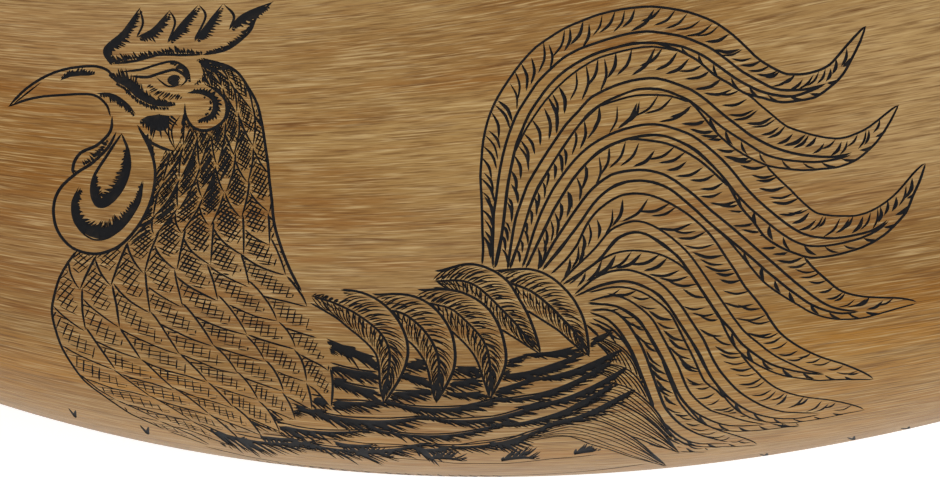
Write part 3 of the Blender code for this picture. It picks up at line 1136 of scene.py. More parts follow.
@dataclass
class Fluff:
    """The soft feathers behind the thigh, drawn with fine lines only."""

    line: float = 0.20
    spines: tuple[Line, ...] = (
        ((54.0, 44.6), (58.6, 43.8), (63.0, 45.0), (68.0, 47.6)),
        ((56.4, 42.8), (60.6, 41.8), (64.8, 43.4), (69.4, 46.2)),
        ((58.4, 40.8), (62.2, 40.2), (65.6, 42.0), (68.6, 44.8)),
        ((60.4, 37.4), (63.0, 38.2), (65.0, 40.6), (66.8, 43.8)),
        ((61.0, 34.6), (63.0, 36.2), (64.4, 39.2), (65.4, 42.4)),
    )

    def draw(self, plate: Plate) -> None:
        """Cuts each feather with lines that follow its spine."""
        for spine in self.spines:
            tuft = Feather(curve(spine), 1.25, 1.25, fullest=0.5, root=0.3)
            tuft.outline(plate, self.line)
            for share in (-0.72, -0.44, -0.16, 0.16, 0.44, 0.72):
                plate.stroke(tuft.side(1.25 * share), 0.15, 0.3, 0.2)
            plate.cover(tuft.loop())


@dataclass
class Belly:
    """The dark broken stripes under the wing, down to the edge that the eye sees."""

    upper: Line = ((15.0, 42.2), (23.0, 43.8), (35.0, 45.0), (46.0, 45.4), (58.0, 43.6))
    lower: Line = ((24.0, 44.9), (30.0, 45.8), (38.0, 46.6), (50.0, 47.3), (61.0, 46.4))

    def draw(self, plate: Plate) -> None:
        """Cuts a row of ragged blotches that hang down, and one that stands up."""
        for points, depth, blots in ((self.upper, -2.0, 5.5), (self.lower, 1.5, 5.0)):
            line = curve(points)
            plate.stroke(line, 0.20, 0.4, 0.4)
            beats = shares_of(81)
            phase = plate.hand.uniform(0.0, 2 * math.pi)
            flecks = np.clip(np.sin(beats * 2 * math.pi * blots + phase) + 0.1, 0.0, 1.0) ** 0.6
            plate.brush(line, flecks * depth * np.minimum(1.0, 0.45 + 0.7 * beats), lean=0.9)


@dataclass
class Underside:
    """What the eye can't see: plain legs on a line of ground, with tufts of grass.

    Its own sheet has x as on the drawing sheet and y the distance around the horn, down from the
    edge that the eye sees.
    """

    reach: float = 0.125
    around: float = 0.030
    ground: float = 18.0
    belly: float = -4.6
    line: float = 0.28
    hips: Point = (33.0, 44.0)
    tufts: int = 15
    ticks: tuple[Point, ...] = ((13.2, -11.0), (19.6, -11.0), (71.6, -4.6), (79.2, -5.6), (83.8, -4.6))

    def lay(self, points: Array) -> Array:
        """Places on the horn for points of this sheet.

        Args:
            points: Rows of (x, y) in millimetres.

        Returns:
            Rows of (station, turn).
        """
        station = self.reach - points[:, 0] * MM
        turn = -math.pi / 2 - points[:, 1] * MM / self.around
        return np.stack([station, turn], axis=1)

    def leg(self, plate: Plate, hip: float) -> None:
        """Cuts one leg with its spur and toes.

        Args:
            plate: The plate that takes the strokes.
            hip: Where the leg leaves the belly.
        """
        heel = self.ground - 1.6
        for off in (-0.7, 0.7):
            shank = [(hip + 4.6 * off, -3.0), (hip + 1.6 * off, 3.0), (hip + off + 0.6, 9.0)]
            plate.trace(shank + [(hip + off, heel)], self.line)
        for i in range(7):
            y = 7.6 + i * (heel - 7.6) / 7
            plate.stroke(np.array([(hip - 0.6, y), (hip + 0.9, y + 0.35)]), 0.2)
        plate.trace([(hip + 0.8, 12.6), (hip + 2.2, 12.2), (hip + 2.9, 11.2)], self.line)
        for reach, rise in ((-5.2, 0.0), (-3.6, 1.7), (3.0, 0.6)):
            toe = [(hip, heel), (hip + reach * 0.55, heel + 0.7 + rise * 0.4)]
            plate.trace(toe + [(hip + reach, self.ground + rise)], 0.42, 0.9, 0.2)
            plate.trace([(hip, heel + 0.6)] + [(hip + reach, self.ground + rise)], 0.22)

    def draw(self, plate: Plate) -> None:
        """Cuts the thighs, the legs, the ground and the grass."""
        for hip in self.hips:
            self.leg(plate, hip)
            for i in range(11):
                x = hip - 4.5 + i * 0.9
                drop = 4.0 + 3.6 * math.sin(math.pi * i / 10)
                thigh = [(x, self.belly), (x + 0.5, self.belly + drop * 0.6)]
                plate.trace(thigh + [(hip + (x - hip) * 0.6, self.belly + drop)], 0.24)
        edge = [(24.5, self.belly - 3.4), (32.0, self.belly), (46.0, self.belly + 0.8)]
        plate.trace(edge + [(56.0, self.belly - 0.6), (62.0, self.belly - 2.6)], self.line)
        ground = [(4.0, self.ground + 1.4), (26.0, self.ground + 0.3), (50.0, self.ground + 0.9)]
        plate.trace(ground + [(76.0, self.ground + 0.2), (98.0, self.ground + 1.3)], self.line)
        for i in range(self.tufts):
            x = 6.0 + i * 6.3
            y = self.ground + 1.0 - 1.2 * (i % 2)
            for lean in (-1.1, -0.35, 0.4, 1.2):
                blade = [(x, y), (x + lean * 0.5, y - 1.8), (x + lean * 1.3, y - 3.0)]
                plate.trace(blade, 0.26, 1.0, 0.1)
        for x, y in self.ticks:
            for lean in (-0.4, 0.3):
                tick = [(x, y + 2.6), (x + lean * 0.4, y + 0.9), (x + lean, y - 0.5)]
                plate.trace(tick, 0.3, 1.0, 0.3)


@dataclass
class Field:
    """The stretch of skin that takes the engraving: an even grid of stations and turns.

    On its chart the first number is the station and the second the turn times a middling radius,
    both in millimetres.
    """

    form: HornForm
    first_station: float = 0.020
    station_step: float = 0.0015
    stations: int = 76
    first_turn: float = math.radians(-150.0)
    turn_step: float = math.radians(2.5)
    turns: int = 78
    tile: tuple[int, int] = (4, 6)
    middling: float = 30.0
    same_point: float = 0.0005
    flat_corner: float = 1e-5
    weld: float = 1e-5
    touching: float = 1e-9
    depth: float = 0.00010

    def chart(self, places: Array) -> Array:
        """Chart points for rows of (station, turn)."""
        return np.stack([places[:, 0] / MM, places[:, 1] * self.middling], axis=1)

    def places(self, chart: Array) -> Array:
        """Rows of (station, turn) for chart points."""
        return np.stack([chart[:, 0] * MM, chart[:, 1] / self.middling], axis=1)

    def grid_at(self, i: int, j: int) -> Point:
        """Chart point of a grid corner."""
        station = self.first_station + i * self.station_step
        return station / MM, (self.first_turn + j * self.turn_step) * self.middling

    def outlines(self, cut: Cut, places: Array) -> list[Array]:
        """Small loops that make up one stroke, half on each side of its middle line.

        Args:
            cut: The stroke, for its widths.
            places: Its middle line on the horn, as rows of (station, turn).

        Returns:
            Loops of chart points.
        """
        chart = self.chart(places)
        squeeze = self.form.cone_radius(places[:, 0]) / MM / self.middling
        way = np.gradient(chart, axis=0)
        way = unit(np.stack([way[:, 0], way[:, 1] * squeeze], axis=1))
        half = cut.width[:, None] / 2
        side = np.stack([-way[:, 1], way[:, 0] / squeeze], axis=1) * half
        left, right = chart + side, chart - side
        last = len(chart) - 1
        loops = []
        for i in range(last):
            for edge in (left, right):
                if i == 0:
                    loops += self.counterclockwise([chart[0], edge[1], chart[1]])
                elif i == last - 1:
                    loops += self.counterclockwise([chart[i], edge[i], chart[last]])
                else:
                    loop = [chart[i], edge[i], edge[i + 1], chart[i + 1]]
                    loops += self.counterclockwise(loop)
        return loops

    def counterclockwise(self, loop: list[Array]) -> list[Array]:
        """Turns a loop the right way round, and halves one that is folded or hollow.

        Args:
            loop: Three or four chart points.

        Returns:
            Loops that all run counterclockwise around a real area.
        """
        corners = np.array(loop)
        steps = np.roll(corners, -1, axis=0) - corners
        onward = np.roll(steps, -1, axis=0)
        bends = steps[:, 0] * onward[:, 1] - steps[:, 1] * onward[:, 0]
        if np.all(bends > self.flat_corner):
            return [corners]
        if np.all(bends < -self.flat_corner):
            return [corners[::-1]]
        if len(loop) == 3:
            return []
        return self.counterclockwise(loop[:3]) + self.counterclockwise([loop[0], loop[2], loop[3]])

    def tile_of(self, point: Array) -> tuple[int, int]:
        """Which tile a chart point lies in.

        Args:
            point: The chart point.

        Returns:
            The tile's numbers along the stations and around the horn.
        """
        i = (point[0] * MM - self.first_station) / self.station_step / self.tile[0]
        j = (point[1] / self.middling - self.first_turn) / self.turn_step / self.tile[1]
        return int(math.floor(i)), int(math.floor(j))

    def cut_tile(self, row: int, column: int, loops: list[Array]) -> tuple[Array, Array, Array]:
        """Divides one tile into triangles that follow the edges of its strokes.

        Args:
            row: Tile number along the stations.
            column: Tile number around the horn.
            loops: The stroke loops that may touch the tile.

        Returns:
            Chart points, triangles, and which triangles are inked.
        """
        wide, tall = self.tile
        points = []
        for i in range(wide + 1):
            for j in range(tall + 1):
                points.append(self.grid_at(row * wide + i, column * tall + j))
        rim = list(range(tall)) + [i * (tall + 1) + tall for i in range(wide)]
        rim += [wide * (tall + 1) + j for j in range(tall, 0, -1)]
        rim += [i * (tall + 1) for i in range(wide, 0, -1)]
        edges = list(zip(rim, rim[1:] + rim[:1]))
        for loop in loops:
            first, past = len(points), len(points) + len(loop)
            edges += [(k, k + 1) for k in range(first, past - 1)] + [(past - 1, first)]
            points.extend((float(p[0]), float(p[1])) for p in loop)
        cut = delaunay_2d_cdt([Vector(p) for p in points], edges, [], 0, self.weld, False)
        chart = np.array([(p.x, p.y) for p in cut[0]])
        triangles = np.array(cut[2])
        centres = chart[triangles].mean(axis=1)
        low = np.array(self.grid_at(row * wide, column * tall))
        high = np.array(self.grid_at((row + 1) * wide, (column + 1) * tall))
        kept = np.all((centres > low) & (centres < high), axis=1)
        return chart, triangles[kept], self.covered(centres[kept], loops)

    def covered(self, points: Array, loops: list[Array]) -> Array:
        """Which points lie inside at least one loop.

        Args:
            points: Rows of chart points.
            loops: Counterclockwise convex loops of three or four corners.

        Returns:
            True for each point that some loop holds.
        """
        if not loops:
            return np.zeros(len(points), dtype=bool)
        corners = np.array([loop if len(loop) == 4 else np.vstack([loop, loop[-1:]]) for loop in loops])
        sides = np.roll(corners, -1, axis=1) - corners
        over = points[:, 1, None, None] - corners[None, :, :, 1]
        along = points[:, 0, None, None] - corners[None, :, :, 0]
        within = sides[None, :, :, 0] * over - sides[None, :, :, 1] * along >= -self.touching
        return np.any(np.all(within, axis=2), axis=1)

    def engrave(self, cuts: list[tuple[Cut, Array]]) -> tuple[Array, Array, Array]:
        """Divides the whole field along the strokes.

        Args:
            cuts: Each stroke with its place on the horn.

        Returns:
            Chart points, triangles, and which triangles are inked.
        """
        rows, columns = self.stations // self.tile[0], self.turns // self.tile[1]
        shelves: dict[tuple[int, int], list[Array]] = {}
        for cut, places in cuts:
            for loop in self.outlines(cut, places):
                low, high = self.tile_of(loop.min(axis=0)), self.tile_of(loop.max(axis=0))
                for i in range(max(low[0], 0), min(high[0], rows - 1) + 1):
                    for j in range(max(low[1], 0), min(high[1], columns - 1) + 1):
                        shelves.setdefault((i, j), []).append(loop)
        charts, triangles, inked = [], [], []
        count = 0
        for i in range(rows):
            for j in range(columns):
                chart, faces, ink = self.cut_tile(i, j, shelves.get((i, j), []))
                charts.append(chart)
                triangles.append(faces + count)
                inked.append(ink)
                count += len(chart)
        chart = np.vstack(charts)
        keys = np.round(chart / self.same_point).astype(np.int64)
        _, first, same = np.unique(keys, axis=0, return_index=True, return_inverse=True)
        faces = same.reshape(-1)[np.vstack(triangles)]
        ink = np.concatenate(inked)
        whole = (faces[:, 0] != faces[:, 1]) & (faces[:, 1] != faces[:, 2])
        whole &= faces[:, 0] != faces[:, 2]
        return chart[first], faces[whole], ink[whole]


def thinned(line: Array, bend: float = 0.16, far: float = 1.7) -> Array:
    """Which points of a finely stepped line are enough to keep its shape.

    Args:
        line: Rows of points.
        bend: Change of direction after which a point is kept.
        far: Distance after which a point is kept.

    Returns:
        Numbers of the kept points.
    """
    count = len(line)
    if count <= 4:
        return np.arange(count)
    steps = np.diff(line, axis=0)
    angle = np.unwrap(np.arctan2(steps[:, 1], steps[:, 0]))
    turned = np.concatenate([[0.0], np.abs(np.diff(angle)), [0.0]])
    gone = np.concatenate([[0.0], np.linalg.norm(steps, axis=1)])
    level = np.floor(np.cumsum(turned / bend + gone / far))
    kept = np.flatnonzero(np.diff(level) > 0) + 1
    ends = [0, 2, count - 3, count - 1] if count > 7 else [0, 1, count - 2, count - 1]
    return np.unique(np.concatenate([ends, kept[(kept > 2) & (kept < count - 3)]]))


@dataclass
class Engraving:
    """The whole picture, from the drawing classes to strokes laid on the horn."""

    press: Press
    parts: tuple[type, ...] = (Head, Neck, Wing, Fluff, Tail, Belly)

    def cuts(self) -> list[tuple[Cut, Array]]:
        """Draws everything, front to back.

        Returns:
            Each stroke, thinned, with its middle line as rows of (station, turn).
        """
        seen = Plate(seed=11)
        for part in self.parts:
            part().draw(seen)
        unseen = Plate(seed=12)
        underside = Underside()
        underside.draw(unseen)
        laid = []
        for plate, lay in ((seen, self.press.lay), (unseen, underside.lay)):
            short = []
            for cut in plate.cuts:
                kept = thinned(cut.line)
                short.append(Cut(cut.line[kept], cut.width[kept]))
            places = lay(np.vstack([cut.line for cut in short]))
            ends = np.cumsum([len(cut.line) for cut in short])
            laid += list(zip(short, np.split(places, ends[:-1])))
        return laid


@dataclass
class HornBody:
    """The horn as one shell: engraved skin, scribed lines, neck, strap ring, lip and powder room."""

    form: HornForm
    engraved: Field
    columns: int = 144
    rim_easing: float = 0.0008
    line_width: float = 0.0007
    line_depth: float = 0.0003
    line_gap: float = 0.0024
    mouth_lines_at: float = 0.0150
    shoulder_lines_back: float = 0.0030
    ring_length: float = 0.0075
    ring_radius: float = 0.0098
    lip_radius: float = 0.0082
    lip_length: float = 0.006
    lip_easing: float = 0.0010
    bore_easing: float = 0.0005
    hair: float = 1e-7
    grid_hair: float = 1e-4
    step: float = 0.0015
    drift: float = 0.00005
    drift_middle: float = 80.0
    drift_reach: float = 60.0
    ink_parts: tuple[tuple[str, float, float], ...] = (
        ("ink_of_the_tail", 0.0, 66.0),
        ("ink_of_the_wing", 66.0, 92.0),
        ("ink_of_the_head", 92.0, 400.0),
    )

    def spread(self, start: float, end: float, step: float) -> list[float]:
        """Even stations from start up to, but without, end."""
        count = max(1, math.ceil((end - start) / step - 1e-6))
        return [start + (end - start) * i / count for i in range(count)]

    def bare(self, law: Callable[[float], float], start: float, end: float, step: float) -> list[Ring]:
        """Rings without ink from start up to end, with radii by a law."""
        return [(s, float(law(s)), False) for s in self.spread(start, end, step)]

    def scribed(self, station: float) -> list[Ring]:
        """Rings of one scribed line: (station, radius, whether ink follows).

        Args:
            station: Where the line is.

        Returns:
            Its four rings.
        """
        rings = []
        for share, deep, ink in ((-1, 0, False), (-0.4, 0.6, True), (0, 1, True), (0.4, 0.6, False)):
            at = station + share * self.line_width / 2
            rings.append((at, float(self.form.cone_radius(at)) - deep * self.line_depth, ink))
        return rings

    def outside(self) -> list[Ring]:
        """Rings of the outside from the rim to the lip: (station, radius, whether ink follows).

        Returns:
            The rings in order.
        """
        cone, area = self.form.cone_radius, self.engraved
        rings = []
        for i in range(5):
            angle = math.pi / 2 * i / 4
            at = self.rim_easing * (1 - math.sin(angle))
            rings.append((at, float(cone(at)) - self.rim_easing * (1 - math.cos(angle)), False))
        rings = sorted(rings)
        first = area.first_station
        last = first + area.stations * area.station_step
        shoulder = self.form.shoulder_at
        lines = [
            self.mouth_lines_at,
            self.mouth_lines_at + self.line_gap,
            shoulder - self.shoulder_lines_back - self.line_gap,
            shoulder - self.shoulder_lines_back,
        ]
        start = self.rim_easing + self.step
        for number, line in enumerate(lines):
            if number == 2:
                rings += self.bare(cone, start, first, self.step)
                stations = [first + i * area.station_step for i in range(area.stations)]
                rings += [(at, float(cone(at)), False) for at in stations]
                start = last
            rings += self.bare(cone, start, line - self.line_width / 2, self.step)
            rings += self.scribed(line)
            start = line + self.line_width / 2
        rings += self.bare(cone, start, shoulder, self.step)
        return rings + self.beyond_shoulder()

    def beyond_shoulder(self) -> list[Ring]:
        """Rings from the shoulder to the lip.

        Returns:
            The rings in order.
        """
        form = self.form
        top = float(form.cone_radius(form.shoulder_at))
        start = form.shoulder_at + form.shoulder_run
        low = float(form.neck(start))
        rings = []
        for i in range(8):
            share = i / 8
            at = form.shoulder_at + form.shoulder_run * share
            rings.append((at, top + (low - top) * float(smooth(share)), False))
        rings += self.bare(form.neck, start, form.neck_end_at, self.step)
        swell = self.ring_radius - form.neck_radius
        for i in range(16):
            angle = math.pi * i / 16
            at = form.neck_end_at + self.ring_length * (1 - math.cos(angle)) / 2
            rings.append((at, form.neck_radius + swell * math.sin(angle), False))
        tube_end = form.length - self.lip_length
        tube = self.spread(form.neck_end_at + self.ring_length, tube_end, self.step)
        rings += [(s, form.neck_radius, False) for s in tube]
        for i in range(8):
            at = tube_end + (self.lip_length - self.lip_easing) * i / 8
            flare = (self.lip_radius - form.neck_radius) * float(smooth(i / 8))
            rings.append((at, form.neck_radius + flare, False))
        for i in range(5):
            angle = math.pi / 2 * i / 4
            at = form.length - self.lip_easing * (1 - math.sin(angle))
            radius = self.lip_radius - self.lip_easing * (1 - math.cos(angle))
            rings.append((at, radius, False))
        return rings

    def grain_drift(self, station: Array) -> Array:
        """How far the horn's grain has drifted around it, because it bends less than the horn."""
        run = np.clip(station / MM - self.drift_middle, -self.drift_reach, self.drift_reach)
        return self.drift * run**2

    def grown(self, station: Array, turn: Array, size: Array | float) -> Array:
        """The horn's own straight coordinates, as its grain has grown.

        Args:
            station: Distances from the mouth.
            turn: Angles around the middle line.
            size: Distances out from the straight middle line, in millimetres.

        Returns:
            Rows of coordinates in millimetres.
        """
        way = turn + self.grain_drift(station)
        return np.column_stack([station / MM, np.cos(way) * size, np.sin(way) * size])

    def hollow(self) -> list[Ring]:
        """Rings of the inside, from the lip back to the mouth.

        Returns:
            The rings in order.
        """
        form = self.form
        law = form.cavity_radius
        last = form.length - self.bore_easing
        rings = self.bare(law, 0.0, form.length - 2 * self.step, 2 * self.step)
        edge = [(form.length, form.bore_radius + self.bore_easing, False)]
        return edge + [(last, float(law(last)), False)] + rings[::-1]

    def build(self, cuts: list[tuple[Cut, Array]]) -> tuple[Piece, list[Piece]]:
        """Makes the horn and its ink.

        Args:
            cuts: Each stroke with its place on the horn.

        Returns:
            The horn and the pieces of ink, which share the edges of the strokes.
        """
        chart, triangles, inked = self.engraved.engrave(cuts)
        places = self.engraved.places(chart)
        shown = np.zeros(len(chart), dtype=int)
        np.add.at(shown, triangles[~inked].reshape(-1), 1)
        radius = self.form.cone_radius(places[:, 0])
        floor = np.where(shown == 0, self.engraved.depth, 0.0)
        engraved = self.form.point(places[:, 0], places[:, 1], radius - floor)

        rings = self.outside() + self.hollow()
        outer = len(self.outside())
        turns = -math.pi + self.engraved.turn_step * np.arange(self.columns)
        station = np.repeat([ring[0] for ring in rings], self.columns)
        reach = np.repeat([ring[1] for ring in rings], self.columns)
        around = np.tile(turns, len(rings))
        plain = self.form.point(station, around, reach)
        middling = self.engraved.middling
        size = reach * middling / self.form.cone_radius(station)
        first = self.engraved.first_station
        last = first + self.engraved.stations * self.engraved.station_step
        from_column = round((self.engraved.first_turn + math.pi) / self.engraved.turn_step)
        skin_quads, ink_quads = [], []
        for i in range(len(rings)):
            k = (i + 1) % len(rings)
            in_field = i < outer and first - self.hair < rings[i][0] < last - self.hair
            quads = band(i * self.columns, k * self.columns, self.columns)
            if in_field:
                del quads[from_column : from_column + self.engraved.turns]
            (ink_quads if rings[i][2] else skin_quads).extend(quads)
        points = np.vstack([plain, engraved])
        grain = np.vstack([self.grown(station, around, size), self.grown(*places.T, middling)])
        shift = len(plain)
        triangles = triangles + shift
        edge = self.rim_numbers(rings, from_column, places, shift)
        triangles = edge[triangles][:, ::-1]
        normals = np.zeros_like(points)
        normals[shift:] = self.form.skin_normal(places[:, 0], places[:, 1])
        bare = np.abs(reach - self.form.cone_radius(station)) < self.hair
        bare &= (station > self.rim_easing * 1.5) & (station < self.form.shoulder_at - self.step)
        normals[:shift][bare] = self.form.skin_normal(station[bare], around[bare])
        skin = shell("engraved_horn", points, skin_quads, triangles[~inked], grain, normals)
        stations = grain[:, 0]
        ink = []
        for name, low, high in self.ink_parts:
            quads = [quad for quad in ink_quads if low <= stations[quad[0]] < high]
            middles = stations[triangles].mean(axis=1)
            faces = triangles[inked & (middles >= low) & (middles < high)]
            ink.append(shell(name, points, quads, faces, grain, None))
        return skin, ink

    def rim_numbers(self, rings: list[Ring], from_column: int, places: Array, shift: int) -> Array:
        """For each point, the number of the plain ring point in the same place, or its own.

        Args:
            rings: All rings of the horn.
            from_column: Column where the field starts.
            places: (station, turn) of each point of the field.
            shift: Number of the field's first point.

        Returns:
            The numbers to use in place of 0, 1, 2 and so on.
        """
        numbers = np.arange(shift + len(places))
        stations = np.array([ring[0] for ring in rings])
        i = (places[:, 0] - self.engraved.first_station) / self.engraved.station_step
        j = (places[:, 1] - self.engraved.first_turn) / self.engraved.turn_step
        on_edge = np.zeros(len(places), dtype=bool)
        for count, past in ((i, self.engraved.stations), (j, self.engraved.turns)):
            on_edge |= np.minimum(np.abs(count), np.abs(count - past)) < self.grid_hair
        for number in np.flatnonzero(on_edge):
            ring = int(np.argmin(np.abs(stations - places[number, 0])))
            column = (from_column + int(round(j[number]))) % self.columns
            numbers[shift + number] = ring * self.columns + column
        return numbers


def band(first: int, second: int, sides: int) -> list[tuple[int, ...]]:
    """Four-sided faces between two rings of points."""
    pairs = [(j, (j + 1) % sides) for j in range(sides)]
    return [(first + j, first + k, second + k, second + j) for j, k in pairs]


def placed(name: str, data: bpy.types.ID) -> Piece:
    """Puts a new object with its data into the scene.

    Args:
        name: Name of the object.
        data: Its mesh, light or camera.

    Returns:
        The object.
    """
    made = bpy.data.objects.new(name, data)
    bpy.context.scene.collection.objects.link(made)
    return made


def shell(
    name: str,
    points: Array,
    quads: list[tuple[int, ...]],
    triangles: Array,
    grain: Array,
    normals: Array | None,
) -> Piece:
    """Makes a smooth mesh object from points and faces, without unused points.

    Args:
        name: Name of the piece.
        points: All points, in metres.
        quads: Four-sided faces.
        triangles: Rows of triangles.
        grain: Straightened horn coordinates of each point, in millimetres.
        normals: Exact normals, in rows of zeros where there are none.

    Returns:
        The object.
    """
    used = np.zeros(len(points), dtype=bool)
    used[triangles.reshape(-1)] = True
    used[[v for face in quads for v in face]] = True
    number = np.cumsum(used) - 1
    faces = [tuple(int(number[v]) for v in face) for face in quads]
    faces += [tuple(int(number[v]) for v in face) for face in triangles]
    data = bpy.data.meshes.new(name)
    data.from_pydata(points[used].tolist(), [], faces)
    data.validate()
    data.shade_smooth()
    data.set_sharp_from_angle(angle=SHARP_EDGE)
    attribute = data.attributes.new("grain", "FLOAT_VECTOR", "POINT")
    attribute.data.foreach_set("vector", grain[used].reshape(-1))
    made = placed(name, data)
    if normals is not None:
        exact = normals[used]
        corner = np.empty(len(data.loops), dtype=np.int32)
        data.loops.foreach_get("vertex_index", corner)
        current = np.empty(len(data.loops) * 3, dtype=np.float32)
        data.corner_normals.foreach_get("vector", current)
        current = current.reshape(-1, 3)
        known = np.linalg.norm(exact[corner], axis=1) > 0.5
        current[known] = exact[corner][known]
        data.normals_split_custom_set(current.tolist())
    return made


class Grain(Enum):
    """Which way the wood of a turned piece grows, against the axis that it was turned about."""

    ACROSS = "across"
    ALONG = "along"


@dataclass
class Turning:
    """A piece turned on a lathe, as (radius, height) points with rounded corners between them."""

    name: str
    sides: int = 96

    def rounded(self, corners: list[Place]) -> Profile:
        """A profile whose corners are eased.

        Args:
            corners: (radius, height, easing) of each corner.

        Returns:
            (radius, height) points.
        """
        profile = [corners[0][:2]]
        for before, corner, after in zip(corners, corners[1:], corners[2:]):
            here = np.array(corner[:2])
            back, ahead = np.array(before[:2]) - here, np.array(after[:2]) - here
            room = 0.45 * min(np.linalg.norm(back), np.linalg.norm(ahead))
            ease = min(corner[2], room)
            if ease < 1e-6:
                profile.append(tuple(here))
                continue
            start = here + unit(back[None])[0] * ease
            end = here + unit(ahead[None])[0] * ease
            for share in shares_of(5):
                point = start * (1 - share) ** 2 + here * 2 * share * (1 - share) + end * share**2
                profile.append(tuple(point))
        return profile + [corners[-1][:2]]

    def build(self, profile: Profile, place: Matrix) -> Piece:
        """Makes the turned mesh.

        Args:
            profile: (radius, height) points that start and end on the axis.
            place: Where the axis is and which way it points.

        Returns:
            The object.
        """
        angles = 2 * math.pi * np.arange(self.sides) / self.sides
        rows = []
        for radius, height in profile[1:-1]:
            heights = np.full(self.sides, height)
            rows.append(np.stack([radius * np.cos(angles), radius * np.sin(angles), heights], 1))
        local = np.vstack(rows + [[(0.0, 0.0, profile[0][1])], [(0.0, 0.0, profile[-1][1])]])
        faces = []
        count = len(rows)
        for i in range(count - 1):
            faces += band(i * self.sides, (i + 1) * self.sides, self.sides)
        tail, tip = count * self.sides, count * self.sides + 1
        top = (count - 1) * self.sides
        for j in range(self.sides):
            k = (j + 1) % self.sides
            faces.append((k, j, tail))
            faces.append((top + j, top + k, tip))
        matrix = np.array(place)
        points = local @ matrix[:3, :3].T + matrix[:3, 3]
        return shell(self.name, points, faces, np.zeros((0, 3), dtype=int), local / MM, None)


@dataclass
class Plug:
    """The turned plug in the wide mouth, with a domed outside and a button for the strap."""

    form: HornForm
    depth: float = 0.0165
    clearance: float = 0.0004
    seat_gap: float = 0.0003
    flange_inset: float = 0.0005
    flange_thickness: float = 0.0055
    flange_easing: float = 0.0016
    dome_rise: float = 0.0065
    neck_radius: float = 0.0056
    neck_length: float = 0.0060
    button_radius: float = 0.0105
    button_thickness: float = 0.0080
    button_face: float = 0.0070
    bead_depth: float = 0.0004

    def profile(self, turning: Turning) -> Profile:
        """(radius, height) points from inside the horn to the button's face.

        Args:
            turning: The lathe that eases its corners.

        Returns:
            The points.
        """
        seat = float(self.form.cavity_radius(0.0)) - self.clearance
        inner = float(self.form.cavity_radius(self.depth)) - self.clearance
        edge = self.form.mouth_radius - self.flange_inset
        outer = self.seat_gap + self.flange_thickness
        corners = [(0.0, -self.depth, 0.0), (inner, -self.depth, 0.001), (seat, self.seat_gap, 0.0)]
        corners += [(edge, self.seat_gap, 0.0004), (edge, outer, self.flange_easing)]
        dome_edge = edge - self.flange_easing
        for share in np.linspace(0.06, 0.96, 24):
            radius = dome_edge + (self.neck_radius - dome_edge) * share
            height = outer + self.dome_rise * math.sin(math.pi / 2 * share)
            for at in (0.20, 0.26, 0.62, 0.68):
                height -= self.bead_depth * math.exp(-(((share - at) / 0.012) ** 2))
            corners.append((radius, height, 0.0))
        top = outer + self.dome_rise
        button = top + self.neck_length
        corners += [(self.neck_radius, top, 0.0012), (self.neck_radius, button, 0.0010)]
        bulge = self.button_radius - self.button_face
        for i in range(1, 14):
            angle = math.pi * i / 14
            height = button + self.button_thickness * (1 - math.cos(angle)) / 2
            corners.append((self.button_face + bulge * math.sin(angle), height, 0.0))
        face = button + self.button_thickness
        corners += [(self.button_face, face, 0.0006), (self.button_face * 0.55, face, 0.0)]
        corners += [(self.button_face * 0.48, face - self.bead_depth, 0.0)]
        corners += [(self.button_face * 0.41, face, 0.0), (0.0, face, 0.0)]
        return turning.rounded(corners)

    def build(self) -> Piece:
        """Makes the plug in the horn's mouth."""
        turning = Turning("turned_butt_plug", 128)
        return turning.build(self.profile(turning), self.form.frame_at(0.0))


@dataclass
class Stopper:
    """The turned stopper in the spout, with a collar and an egg-shaped grip."""

    form: HornForm
    clearance: float = 0.0003
    taper: float = 0.0005
    collar_radius: float = 0.0070
    collar_thickness: float = 0.0022
    grip_neck_radius: float = 0.0034
    grip_neck_length: float = 0.0040
    grip_radius: float = 0.0068
    grip_end_radius: float = 0.0020
    grip_length: float = 0.0130

    def profile(self, turning: Turning) -> Profile:
        """(radius, height) points from inside the spout to the end of the grip.

        Args:
            turning: The lathe that eases its corners.

        Returns:
            The points.
        """
        shank = self.form.bore_radius - self.clearance
        tip = shank - self.taper
        depth = self.form.stopper_depth
        top = self.clearance + self.collar_thickness
        corners = [(0.0, -depth, 0.0), (tip, -depth, 0.0006), (shank, self.clearance, 0.0)]
        corners += [(self.collar_radius, self.clearance, 0.0005), (self.collar_radius, top, 0.0005)]
        corners += [(self.grip_neck_radius, top, 0.0006)]
        grip = top + self.grip_neck_length
        corners += [(self.grip_neck_radius, grip, 0.0006)]
        for i in range(1, 20):
            angle = math.pi * i / 20
            height = grip + self.grip_length * (1 - math.cos(angle)) / 2
            groove = 0.00022 * math.exp(-(((i - 10) / 0.7) ** 2))
            radius = max(self.grip_radius * math.sin(angle), self.grip_end_radius) - groove
            corners.append((radius, height, 0.0))
        return turning.rounded(corners + [(0.0, grip + self.grip_length, 0.0)])

    def build(self) -> Piece:
        """Makes the stopper in the end of the spout.

        Returns:
            The object.
        """
        turning = Turning("turned_stopper", 96)
        spout = self.form.frame_at(self.form.length) @ Matrix.Rotation(math.pi, 4, "X")
        return turning.build(self.profile(turning), spout)


